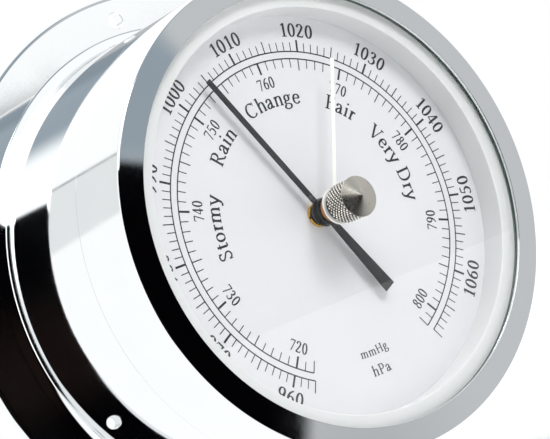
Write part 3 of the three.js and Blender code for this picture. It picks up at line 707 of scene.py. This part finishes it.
GLYPHS = {
    "0": (0.66, [pen(arc(0.33, 0.5, 0.205, 0.465, 90, 270)),
                 pen(arc(0.33, 0.5, 0.205, 0.465, 90, -90))]),
    "1": (0.60, [stem(0.33), serif(0.33, 0, 0.18, 0.18), pen([(0.13, 0.83), (0.35, 0.97)], THIN)]),
    "2": (0.66, [pen(curve((0.12, 0.74), (0.19, 0.92), (0.34, 0.965), (0.475, 0.85), (0.46, 0.66),
                           (0.31, 0.38), (0.10, 0.07))),
                 pen([(0.08, 0.055), (0.54, 0.055)], 0.11), pen([(0.52, 0.05), (0.57, 0.22)], 0.05)]),
    "3": (0.66, [pen(curve((0.13, 0.80), (0.22, 0.94), (0.36, 0.95), (0.45, 0.80), (0.39, 0.62),
                           (0.23, 0.53))),
                 pen(curve((0.23, 0.53), (0.42, 0.47), (0.50, 0.28), (0.40, 0.08), (0.24, 0.03),
                           (0.09, 0.10))), dot(0.11, 0.12, 0.06)]),
    "4": (0.66, [stem(0.42), pen([(0.40, 0.97), (0.07, 0.29)], THIN),
                 pen([(0.04, 0.27), (0.60, 0.27)], 0.08)]),
    "5": (0.66, [pen([(0.19, 0.93), (0.53, 0.95)], 0.11), pen([(0.20, 0.94), (0.14, 0.55)], THIN),
                 pen(curve((0.14, 0.55), (0.30, 0.60), (0.45, 0.50), (0.49, 0.30), (0.38, 0.09),
                           (0.22, 0.03), (0.09, 0.09))), dot(0.11, 0.11, 0.055)]),
    "6": (0.66, [pen(arc(0.33, 0.30, 0.195, 0.265, 90, 270)),
                 pen(arc(0.33, 0.30, 0.195, 0.265, 90, -90)),
                 pen(curve((0.135, 0.30), (0.16, 0.55), (0.28, 0.80), (0.50, 0.97)))]),
    "7": (0.66, [pen([(0.09, 0.93), (0.58, 0.93)], 0.11), pen([(0.11, 0.95), (0.07, 0.76)], 0.05),
                 pen([(0.55, 0.93), (0.25, 0.0)], 0.10)]),
    "8": (0.66, [pen(arc(0.33, 0.75, 0.155, 0.22, 90, 270)),
                 pen(arc(0.33, 0.75, 0.155, 0.22, 90, -90)),
                 pen(arc(0.33, 0.275, 0.20, 0.24, 90, 270)),
                 pen(arc(0.33, 0.275, 0.20, 0.24, 90, -90))]),
    "9": (0.66, [pen(arc(0.33, 0.70, 0.195, 0.265, 90, 270)),
                 pen(arc(0.33, 0.70, 0.195, 0.265, 90, -90)),
                 pen(curve((0.525, 0.70), (0.50, 0.45), (0.38, 0.20), (0.16, 0.03)))]),
    "S": (0.80, [pen(curve((0.57, 0.76), (0.50, 0.92), (0.36, 0.97), (0.20, 0.89), (0.17, 0.71),
                           (0.36, 0.54), (0.57, 0.38), (0.58, 0.16), (0.42, 0.03), (0.24, 0.06),
                           (0.13, 0.24)), 0.11),
                 pen([(0.59, 0.98), (0.57, 0.72)], 0.05), pen([(0.12, 0.30), (0.11, 0.0)], 0.05)]),
    "C": (0.98, [pen(arc(0.50, 0.5, 0.37, 0.465, 45, 318)),
                 pen([(0.82, 0.98), (0.80, 0.70)], 0.05)]),
    "R": (0.98, [stem(0.23), serif(0.23, 0), pen([(0.07, 0.967), (0.48, 0.967)], THIN),
                 pen(arc(0.46, 0.735, 0.20, 0.232, 90, -90)),
                 pen([(0.23, 0.503), (0.48, 0.503)], THIN),
                 pen(curve((0.42, 0.50), (0.58, 0.26), (0.73, 0.06), (0.90, 0.03)), 0.12)]),
    "F": (0.82, [stem(0.23), serif(0.23, 0, 0.16, 0.17), pen([(0.07, 0.967), (0.70, 0.967)], THIN),
                 pen([(0.69, 0.99), (0.70, 0.76)], 0.05), pen([(0.23, 0.51), (0.52, 0.51)], THIN),
                 pen([(0.52, 0.64), (0.52, 0.38)], 0.05)]),
    "V": (1.0, [pen([(0.17, 0.98), (0.53, 0.02)], THICK), pen([(0.53, 0.02), (0.85, 0.98)], THIN),
                serif(0.16, 1.0, 0.15, 0.17), serif(0.84, 1.0, 0.13, 0.13)]),
    "D": (1.06, [stem(0.23), pen([(0.07, 0.967), (0.50, 0.967)], THIN),
                 pen([(0.07, 0.033), (0.50, 0.033)], THIN),
                 pen(arc(0.49, 0.5, 0.40, 0.467, 90, -90))]),
    "P": (0.82, [stem(0.23), serif(0.23, 0), pen([(0.07, 0.967), (0.46, 0.967)], THIN),
                 pen(arc(0.44, 0.72, 0.21, 0.247, 90, -90)),
                 pen([(0.23, 0.473), (0.46, 0.473)], THIN)]),
    "H": (1.06, [stem(0.23), stem(0.83), pen([(0.23, 0.52), (0.83, 0.52)], THIN),
                 *[serif(x, y) for x in (0.23, 0.83) for y in (0, 1)]]),
    "t": (0.42, [pen(curve((0.17, 0.86), (0.17, 0.40), (0.18, 0.12), (0.26, 0.04), (0.38, 0.10))),
                 pen([(0.02, 0.645), (0.37, 0.645)], THIN)]),
    "o": (0.74, [pen(arc(0.37, 0.34, 0.235, 0.312, 90, 270)),
                 pen(arc(0.37, 0.34, 0.235, 0.312, 90, -90))]),
    "r": (0.52, [stem(0.21, 0, X - 0.02), serif(0.21, 0), flag(0.21, X),
                 pen(curve((0.24, 0.44), (0.30, 0.58), (0.42, 0.63))), dot(0.44, 0.60, 0.065)]),
    "m": (1.16, [stem(0.21, 0, X - 0.02), stem(0.59, 0, 0.47), stem(0.97, 0, 0.47), flag(0.21, X),
                 *[serif(x, 0, 0.13, 0.13) for x in (0.21, 0.59, 0.97)],
                 *[pen(curve((x, 0.46), (x + 0.10, 0.60), (x + 0.24, 0.645), (x + 0.345, 0.58),
                             (x + 0.38, 0.44))) for x in (0.21, 0.59)]]),
    "n": (0.78, [stem(0.21, 0, X - 0.02), stem(0.60, 0, 0.47), flag(0.21, X),
                 *[serif(x, 0, 0.13, 0.13) for x in (0.21, 0.60)],
                 pen(curve((0.21, 0.46), (0.31, 0.60), (0.46, 0.645), (0.565, 0.58),
                           (0.60, 0.44)))]),
    "h": (0.78, [stem(0.20, 0, 1.02), stem(0.60, 0, 0.47), flag(0.20, 1.06),
                 *[serif(x, 0, 0.13, 0.13) for x in (0.20, 0.60)],
                 pen(curve((0.20, 0.46), (0.31, 0.60), (0.46, 0.645), (0.565, 0.58),
                           (0.60, 0.44)))]),
    "i": (0.42, [stem(0.21, 0, X - 0.02), serif(0.21, 0), flag(0.21, X), dot(0.21, 0.93)]),
    "y": (0.76, [pen([(0.13, 0.66), (0.41, 0.03)], 0.13),
                 pen(curve((0.66, 0.66), (0.42, 0.03), (0.33, -0.17), (0.20, -0.27))),
                 dot(0.17, -0.24, 0.075), serif(0.14, X, 0.13, 0.15), serif(0.65, X, 0.1, 0.1)]),
    "a": (0.68, [pen(curve((0.12, 0.50), (0.17, 0.60), (0.30, 0.65), (0.42, 0.58), (0.455, 0.42),
                           (0.455, 0.14), (0.50, 0.04), (0.62, 0.09))),
                 pen(curve((0.45, 0.40), (0.24, 0.31), (0.12, 0.17), (0.19, 0.04), (0.33, 0.05),
                           (0.45, 0.18))), dot(0.13, 0.50, 0.06)]),
    "e": (0.68, [pen([(0.13, 0.385), (0.56, 0.385)], THIN),
                 pen(curve((0.555, 0.385), (0.51, 0.57), (0.35, 0.65), (0.19, 0.57), (0.12, 0.36),
                           (0.18, 0.13), (0.34, 0.04), (0.48, 0.08), (0.58, 0.19)))]),
    "g": (0.74, [pen(arc(0.32, 0.45, 0.17, 0.195, 90, 270)),
                 pen(arc(0.32, 0.45, 0.17, 0.195, 90, -90)),
                 pen([(0.42, 0.60), (0.66, 0.63)], THIN),
                 pen(curve((0.24, 0.27), (0.14, 0.16), (0.24, 0.08), (0.48, 0.06), (0.60, -0.05),
                           (0.54, -0.20), (0.34, -0.28), (0.14, -0.22), (0.11, -0.10),
                           (0.22, 0.03)))]),
    " ": (0.40, []),
}


def glyph(letter, store={}):
    """A letter's advance and the triangles of its strokes, worked out once."""
    if letter not in store:
        advance, strokes = GLYPHS[letter]
        pieces = [piece for stroke in strokes for piece in stroke]
        store[letter] = (advance, united(pieces) if pieces else ([], []))
    return store[letter]


PRINT_BACK = DIAL_FRONT - 0.01
PRINT_FRONT = DIAL_FRONT + 0.02


def write_on_arc(build, text, degrees, base, height, flipped=False, stretch=1.0):
    """Sets a word on an arc about the dial's centre, its middle at the given angle."""
    advances = [glyph(letter)[0] * height * stretch for letter in text]
    side = -1 if flipped else 1
    along = -sum(advances) / 2
    middle = base + side * height / 2
    for letter, advance in zip(text, advances):
        angle = math.radians(degrees) + side * (along + advance / 2) / middle
        across = (side * math.cos(angle), -side * math.sin(angle))
        upward = (side * math.sin(angle), side * math.cos(angle))
        origin = (base * math.sin(angle), base * math.cos(angle))
        vertices, faces = glyph(letter)[1]
        placed = []
        for x, y in vertices:
            x, y = x * height * stretch - advance / 2, y * height
            placed.append(tuple(origin[k] + x * across[k] + y * upward[k] for k in (0, 1)))
        add_plate(build, placed, faces, PRINT_BACK, PRINT_FRONT)
        along += advance


def sector(inner, outer, start, end, steps):
    """A stretch of a flat ring, as a polygon."""
    angles = [start + (end - start) * i / steps for i in range(steps + 1)]
    return [on_circle(outer, a) for a in angles] + [on_circle(inner, a) for a in reversed(angles)]


def tick(angle, start, end, width):
    """A radial line, as a polygon."""
    x, z = on_circle(1.0, angle)
    half = width / 2
    return [(x * r + side * z * half, z * r - side * x * half)
            for r, side in ((start, -1), (end, -1), (end, 1), (start, 1))]


# ---- Dial printing ----

HPA_AT_TOP = 1013.0
DEGREES_PER_HPA = 2.709
HPA_PER_MMHG = 1.33322
LINE_WIDTH = 0.3
SCALES = (
    # units in hPa, first, last, line radius, long tick's end, short tick's end
    (1.0, 957, 1069, 38.4, 41.2, 40.55),
    (HPA_PER_MMHG, 718, 802, 36.67, 33.9, 34.55),
)
UNITS = (("hPa", 36.0, 2.4), ("mmHg", 31.8, 2.0))
WORDS = (("Stormy", -79.0), ("Rain", -38.2), ("Change", 0.5), ("Fair", 40.3), ("Very Dry", 79.3))


def reading_angle(hpa):
    return (hpa - HPA_AT_TOP) * DEGREES_PER_HPA


def make_scales(look):
    build = bmesh.new()
    for unit, first, last, line, far, near in SCALES:
        start, end = reading_angle(first * unit), reading_angle(last * unit)
        half = LINE_WIDTH / 2
        shapes = [sector(line - half, line + half, start, end, 240)]
        for value in range(first, last + 1):
            closing = value in (first, last)
            bold = value % 10 == 0
            tip = far if bold or value % 5 == 0 or closing else near
            width = 0.5 if bold else 0.26 if value % 5 == 0 or closing else 0.22
            shapes.append(tick(reading_angle(value * unit), line, tip, width))
        vertices, faces = united(shapes)
        add_plate(build, vertices, faces, PRINT_BACK, PRINT_FRONT)
    new_piece("dial_scales", "case", [], to_mesh("dial_scales", build),
              [look["ink"]])


def make_numbers(look):
    build = bmesh.new()
    rows = ((range(960, 1061, 10), 1.0, 41.9, 3.25, 1.1),
            (range(720, 801, 10), HPA_PER_MMHG, 30.4, 2.68, 0.92))
    for values, unit, base, height, stretch in rows:
        for value in values:
            angle = reading_angle(value * unit) + 0.4
            flipped = abs(angle) > 90
            foot = base + height if flipped else base
            write_on_arc(build, str(value), angle, foot, height, flipped, stretch)
    new_piece("dial_numbers", "case", [], to_mesh("dial_numbers", build),
              [look["ink"]])


def make_words(look):
    build = bmesh.new()
    for word, angle in WORDS:
        write_on_arc(build, word, angle, 26.0, 3.5, stretch=1.0)
    for unit, base, height in UNITS:
        write_on_arc(build, unit, 180, base + height, height, flipped=True)
    new_piece("dial_words", "case", [], to_mesh("dial_words", build), [look["ink"]])


# ---- Pointer ----

POINTER_PLATE = (DIAL_FRONT + 2.3, DIAL_FRONT + 2.7)
POINTER_HOLE, POINTER_EYE = 2.7, 3.3


def make_pointer(look):
    blade = [(-0.65, 39.6), (-0.72, 2), (-1.57, -23), (1.57, -23), (0.72, 2), (0.65, 39.6)]
    plate_piece("pointer_blade", "pointer", ["pointer"],
                [blade, ring_points(POINTER_EYE, 48)], [ring_points(POINTER_HOLE, 48)],
                POINTER_PLATE, 0.06, look["black"], POINTER_ANGLE)
    inner = POINTER_HOLE - 0.3
    hub = [
        (0, DIAL_FRONT + 4.7, 0), (0.9, DIAL_FRONT + 4.7, 0), (0.9, DIAL_FRONT + 1, 0.1),
        (inner, DIAL_FRONT + 1, 0.12), (inner, POINTER_PLATE[1] + 0.1, 0.05),
        (3.2, POINTER_PLATE[1] + 0.1, 0.12), (3.2, DIAL_FRONT + 5.2, 0.35), (0, DIAL_FRONT + 5.2, 0),
    ]
    turned_piece("pointer_boss", "pointer", "black_lacquer", ["pointer_hub"], hub,
                 [look["gloss_black"]], 96, False)


def make_bearing(look):
    collar = DIAL_FRONT + 0.8
    back = depths("front_bearing")[0]
    profile = eased([
        (1.1, back, 0.1), (2.1, back, 0.1), (2.1, DIAL_FRONT, 0), (2.8, DIAL_FRONT, 0.05),
        (2.8, collar, 0.25), (1.1, collar, 0.1),
    ])
    grooves = [bar_mesh((0, collar, 0), (7, 0.8, 0.6), turn) for turn in (0, 90)]
    mesh = carve(lathe_mesh(profile, 96), grooves)
    new_piece("bearing_collar", "case", ["front_bearing"], mesh, [look["brass"]])


# ---- Set hand and knob ----

SHAFT_RADIUS = 1.5
BUSH_RADIUS = 4.25
BUSH_FRONT = depths("knob_bush")[1]
KNOB_BACK = BUSH_FRONT + 1.1
KNOB_FRONT = KNOB_TIP - 1.5
KNOB_NECK = 3.7
KNURLS = 28


def make_knob(look):
    """Shaft and cone are turned; the grip's grid of alternate peaks gives the knurling."""
    build = bmesh.new()
    root = KNOB_RADIUS - KNURL_DEPTH
    back = [(0, DIAL_FRONT + 5.5, 0), (SHAFT_RADIUS, DIAL_FRONT + 5.5, 0.2),
            (SHAFT_RADIUS, BUSH_FRONT + 0.1, 0), (KNOB_NECK, BUSH_FRONT + 0.1, 0.1),
            (KNOB_NECK, KNOB_BACK, 0.05), (root - 0.35, KNOB_BACK, 0)]
    steps = 2 * KNURLS
    behind = lathe(build, [*eased(back, False), (root - 0.05, KNOB_BACK + 0.3)], steps, False,
                   material=1)
    rows = 2 * round((KNOB_FRONT - KNOB_BACK - 0.7) * KNURLS / (2 * math.pi * KNOB_RADIUS))
    first, last = KNOB_BACK + 0.3, KNOB_FRONT - 0.2
    rings = [behind[-1]]
    for row in range(1, rows):
        depth = first + (last - first) * row / rows
        ring = []
        for step in range(steps):
            peak = (row + step) % 2
            radius = root + KNURL_DEPTH * peak
            x, z = on_circle(radius, 360 * step / steps)
            ring.append(build.verts.new((x * MM, -depth * MM, z * MM)))
        rings.append(ring)
    cone = [(root, last, 0), (KNOB_RADIUS, last + 0.1, 0.03), (KNOB_RADIUS, KNOB_FRONT, 0.04),
            (0.12, KNOB_TIP - 0.04, 0), (0, KNOB_TIP, 0)]
    front = lathe(build, eased(cone, False), steps, False)
    rings.append(front[0])
    for row, (low, high) in enumerate(zip(rings, rings[1:])):
        for step in range(steps):
            ahead = (step + 1) % steps
            a, b, c, d = low[step], low[ahead], high[ahead], high[step]
            even = (row + step) % 2 == 0
            for corners in ((a, b, c), (a, c, d)) if even else ((a, b, d), (b, c, d)):
                build.faces.new(corners).material_index = 1
    mesh = to_mesh("set_knob_grip", build)
    new_piece("set_knob_grip", "set_hand", ["set_knob"], mesh,
              [look["nickel"], look["knurl"]], 22)


def make_set_hand(look):
    half, tip = 0.48, 35.3
    blade = [(-half, tip), (-half, 2.2), (half, 2.2), (half, tip)]
    plate_piece("set_hand_blade", "set_hand", ["set_hand"],
                [blade, ring_points(2.8, 48)], [ring_points(1.8, 48)],
                (GASKET_BACK, GASKET_BACK + 0.25), 0.05, look["hand"], SET_HAND_ANGLE)
    nut = [(1.8, DIAL_FRONT + 5.5, 0.05), (2.4, DIAL_FRONT + 5.5, 0.1),
           (2.4, DIAL_FRONT + 5.9, 0.1), (1.8, DIAL_FRONT + 5.9, 0.05)]
    turned_piece("hand_nut", "set_hand", "brass", ["set_hand_nut"], nut, [look["brass"]], 64)
    middle = (DIAL_FRONT + 5.9 + GASKET_BACK) / 2
    turn = math.radians(SET_HAND_ANGLE)
    washer = [(1.8, middle - 0.1, 0.04), (3.4, middle - 0.1, 0.05),
              (3.4, middle + 0.1, 0.05), (1.8, middle + 0.1, 0.04)]
    turned_piece("wave_washer", "set_hand", "bronze", ["spring_washer"], washer,
                 [look["bronze"]], 96, lift=lambda a: -0.18 * math.cos(3 * (a - turn)))


def make_bush(look):
    corners = [
        (1.8, GLASS_BACK + 0.1, 0.05), (2.3, GLASS_BACK + 0.1, 0.1), (2.3, GLASS_FRONT, 0),
        (BUSH_RADIUS, GLASS_FRONT, 0.08), (BUSH_RADIUS, BUSH_FRONT, 0.18), (1.8, BUSH_FRONT, 0.1),
    ]
    turned_piece("glass_bush", "case", "white_nylon", ["knob_bush"], corners, [look["nylon"]])


# ---- Back of the case ----


def make_cover(look):
    """Pressed cover with two raised rings, a vent, and the hole over the adjusting screw."""
    back, front = COVER_BACK, COVER_FRONT
    profile = eased([
        (3.8, back, 0.15), (7.0, back, 0.1), (7.3, back + 0.25, 0.1), (44.0, back + 0.25, 0.1),
        (44.6, back, 0.1), (COVER_RADIUS, back, 0.2), (COVER_RADIUS, front, 0.2),
        (3.8, front, 0.15),
    ])
    screws = [on_circle(COVER_SCREW_CIRCLE, a) for a in COVER_SCREW_ANGLES]
    pillars = [on_circle(PILLAR_CIRCLE, a) for a in THIRDS]
    cutters = []
    for place in [*screws, *pillars]:
        sink = [(0, back - 1), (2.3, back - 1), (2.3, back), (1.3, back + 1), (1.3, front + 1),
                (0, front + 1)]
        cutters.append(lathe_mesh(sink, 48, place, False))
    vent = [(0, back - 1), (1.5, back - 1), (1.5, front + 1), (0, front + 1)]
    cutters.append(lathe_mesh(vent, 32, (0.0, -18.0), False))
    mesh = carve(lathe_mesh(profile, 192), cutters)
    new_piece("rear_cover", "case", ["back_cover"], mesh, [look["chrome"]])


def make_countersunk(look, name, node, place, degrees):
    """A slotted countersunk screw seen from behind."""
    back = COVER_BACK + 0.05
    tip = depths(node)[1]
    profile = eased([
        (0, back, 0), (2.0, back, 0.12), (1.0, back + 1.0, 0.1), (1.0, tip, 0.25), (0, tip, 0),
    ], False)
    groove = bar_mesh((place[0], back, place[1]), (6, 0.9, 0.5), degrees)
    mesh = carve(lathe_mesh(profile, 48, place, False), [groove])
    new_piece(name, "case", [node], mesh, [look["steel"]])


def make_screws(look):
    for i, degrees in enumerate(COVER_SCREW_ANGLES):
        place = on_circle(COVER_SCREW_CIRCLE, degrees)
        make_countersunk(look, f"rear_screw_{i + 1}", f"cover_screw_{i + 1}", place,
                         35 + 50 * i)
    for i, degrees in enumerate(THIRDS):
        make_countersunk(look, f"pillar_screw_{i + 1}", f"rear_pillar_screw_{i + 1}",
                         on_circle(PILLAR_CIRCLE, degrees), 70 * i - 20)


def make_adjuster(look):
    tip = depths("adjusting_screw")[1]
    profile = eased([
        (0, 0.6, 0), (3.2, 0.6, 0.4), (3.2, 3, 0.15), (1.8, 3, 0), (1.8, tip, 0.3), (0, tip, 0),
    ], False)
    groove = bar_mesh((0, 0.6, 0), (8, 1.4, 0.9))
    mesh = carve(lathe_mesh(profile, 64, closed=False), [groove])
    new_piece("rear_adjuster", "adjuster", ["adjusting_screw"], mesh, [look["brass"]])


# ---- Movement, as packed ----

MOVEMENT_LOOKS = (
    ("base_plate", "steel_plate"),
    ("movement_plate", "brass_plate"),
    ("front_bridge", "brass_plate"),
    ("rear_pillar", "steel"),
    ("frame_pillar", "brass"),
    ("bridge_pillar", "brass"),
    ("capsule", "capsule"),
    ("rocker_shaft", "steel"),
    ("rocker_finger", "steel_plate"),
    ("rocker", "brass_plate"),
    ("sector_gear", "brass_plate"),
    ("sector_arbor", "steel"),
    ("pointer_arbor", "steel"),
    ("hairspring_stud", "brass_plate"),
    ("hairspring_collet", "brass"),
    ("hairspring", "bronze"),
)


def dress_movement(look):
    """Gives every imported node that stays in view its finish."""
    for name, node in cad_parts.items():
        if node.hide_render:
            continue
        finish = "steel"
        if "screw" not in name:
            finish = next(f for start, f in MOVEMENT_LOOKS if name.startswith(start))
        node.data.materials.clear()
        node.data.materials.append(look[finish])


# ---- Surroundings ----

WHITE = (1.21, 1.215, 1.21)
BRIGHT = (1.6, 1.61, 1.6)
GLARE = (3.4, 3.35, 3.2)
SIDE = (2.4, 2.4, 2.35)
DUSK = (0.05, 0.05, 0.055)
BLUE_GREY = (0.345, 0.405, 0.455)
PALE_BLUE = (0.46, 0.53, 0.585)
BLACK = (0.001, 0.001, 0.0015)
BROWN = (0.011, 0.007, 0.006)
FRONT = (-1.1, 0.0)
# Each panel of the room: its colour, its range of y, and its edges. An edge keeps the side
# where x cos(angle) + z sin(angle) is under its limit, and fades over its softness. They are
# set to give the reflections seen from the photo's angle, so other angles reflect mostly white.
PANELS = (
    ((0.63, 0.645, 0.655), FRONT, ()),
    ((0.53, 0.545, 0.56), FRONT, ((90, -0.22, 0.05), (0, 0.62, 0.1))),
    (WHITE, FRONT, ((270, -0.58, 0.06), (0, 0.75, 0.05))),
    (BLUE_GREY, FRONT, ((90, 0.62, 0.06), (270, -0.175, 0.03), (0, 0.48, 0.015))),
    (PALE_BLUE, FRONT, ((90, 0.62, 0.06), (270, -0.36, 0.05), (0, 0.34, 0.05))),
    (WHITE, FRONT, ((0, -0.02, 0.08),)),
    (BRIGHT, FRONT, ((0, 0.01, 0.1), (180, 0.32, 0.02), (270, -0.4, 0.02), (90, 0.66, 0.04))),
    (WHITE, (-1.1, -0.75), ((180, -0.485, 0.015), (0, 0.7, 0.02), (90, 0.205, 0.02),
                            (270, -0.11, 0.008))),
    (DUSK, (-1.1, -0.6), ((180, -0.49, 0.03), (0, 0.74, 0.03), (90, 0.105, 0.01),
                          (270, 0.13, 0.03))),
    (SIDE, (-0.85, 0.0), ((315, -0.6, 0.05),)),
    (BLACK, (-1.1, -0.1), ((65.4, 0.313, 0.008), (0, 0.452, 0.012), (255, 0.594, 0.04))),
    (BROWN, (-1.1, -0.5), ((0, -0.2, 0.2), (90, 0.1, 0.15), (270, 0.3, 0.1))),
    (GLARE, (-1.1, -0.6), ((180, -0.16, 0.02), (0, 0.34, 0.02), (90, 0.46, 0.02),
                           (270, -0.31, 0.02), (56, 0.49, 0.01))),
    ((0.93, 0.95, 0.95), (0.5, 1.1), ((180, 0.44, 0.008), (0, -0.22, 0.008), (270, -0.1, 0.02))),
    ((0.5, 0.52, 0.52), (0.5, 1.1), ((180, 0.232, 0.003), (0, -0.222, 0.003), (270, -0.1, 0.02))),
)


def make_world():
    """A room that the camera sees as plain white, with panels that light and reflect in the part."""
    world = bpy.data.worlds.new("studio")
    bpy.context.scene.world = world
    world.use_nodes = True
    nodes = Nodes(world.node_tree)
    x, y, z = nodes.axes(nodes.add("ShaderNodeTexCoord").outputs["Generated"])
    shade = colour(*WHITE)
    for tint, (near, far), edges in PANELS:
        mask = nodes.math("MULTIPLY", nodes.math("GREATER_THAN", y, near),
                          nodes.math("LESS_THAN", y, far))
        for degrees, limit, soft in edges:
            angle = math.radians(degrees)
            reached = nodes.math("ADD", nodes.math("MULTIPLY", x, math.cos(angle)),
                                 nodes.math("MULTIPLY", z, math.sin(angle)))
            kept = nodes.spread(reached, 1.0, 0.0, limit - soft, limit + soft, True)
            mask = nodes.math("MULTIPLY", mask, kept)
        shade = nodes.blend(mask, shade, colour(*tint))
    path = nodes.add("ShaderNodeLightPath")
    seen = nodes.blend(path.outputs["Is Camera Ray"], shade, colour(1.0, 1.0, 1.0))
    background = world.node_tree.nodes["Background"]
    nodes.link(seen, background.inputs["Color"])


def make_light(name, place, target, size, power):
    data = bpy.data.lights.new(name, "AREA")
    data.shape = "DISK"
    data.size = size
    data.energy = power
    lamp = bpy.data.objects.new(name, data)
    bpy.context.scene.collection.objects.link(lamp)
    lamp.location = place
    lamp.rotation_mode = "QUATERNION"
    lamp.rotation_quaternion = (Vector(place) - Vector(target)).to_track_quat("Z", "Y")
    lamp.visible_camera = False
    lamp.visible_glossy = False


def make_floor():
    made, shader, nodes = new_material("pale_floor")
    mottle = nodes.noise(nodes.position(), 8.0, 4.0)
    nodes.link(nodes.blend(mottle, colour(0.93, 0.93, 0.93), colour(0.96, 0.96, 0.96)),
               shader.inputs["Base Color"])
    nodes.link(nodes.spread(mottle, 0.7, 0.85), shader.inputs["Roughness"])
    low = cad_box[0].z - 0.0002
    reach_out = 8.0
    mesh = bpy.data.meshes.new("floor")
    corners = [(-reach_out, -reach_out), (reach_out, -reach_out), (reach_out, reach_out),
               (-reach_out, reach_out)]
    mesh.from_pydata([(x, y, low) for x, y in corners], [], [(0, 1, 2, 3)])
    mesh.materials.append(made)
    floor = bpy.data.objects.new("floor", mesh)
    bpy.context.scene.collection.objects.link(floor)
    floor.visible_glossy = False


def make_studio():
    make_world()
    make_floor()
    make_light("key", (0.12, -0.95, 0.66), (0, -0.05, 0), 0.4, 5.0)


def set_view():
    view = bpy.context.scene.view_settings
    view.view_transform = "Standard"
    view.look = "None"
    view.exposure = 0.0
    view.gamma = 1.0


# ---- Everything ----

make_camera()
finishes = make_materials()
for make in (make_case, make_bezel, make_dial, make_glass, make_scales, make_numbers, make_words,
             make_pointer, make_bearing, make_knob, make_set_hand, make_bush, make_cover,
             make_screws, make_adjuster, dress_movement):
    make(finishes)
make_studio()
set_view()
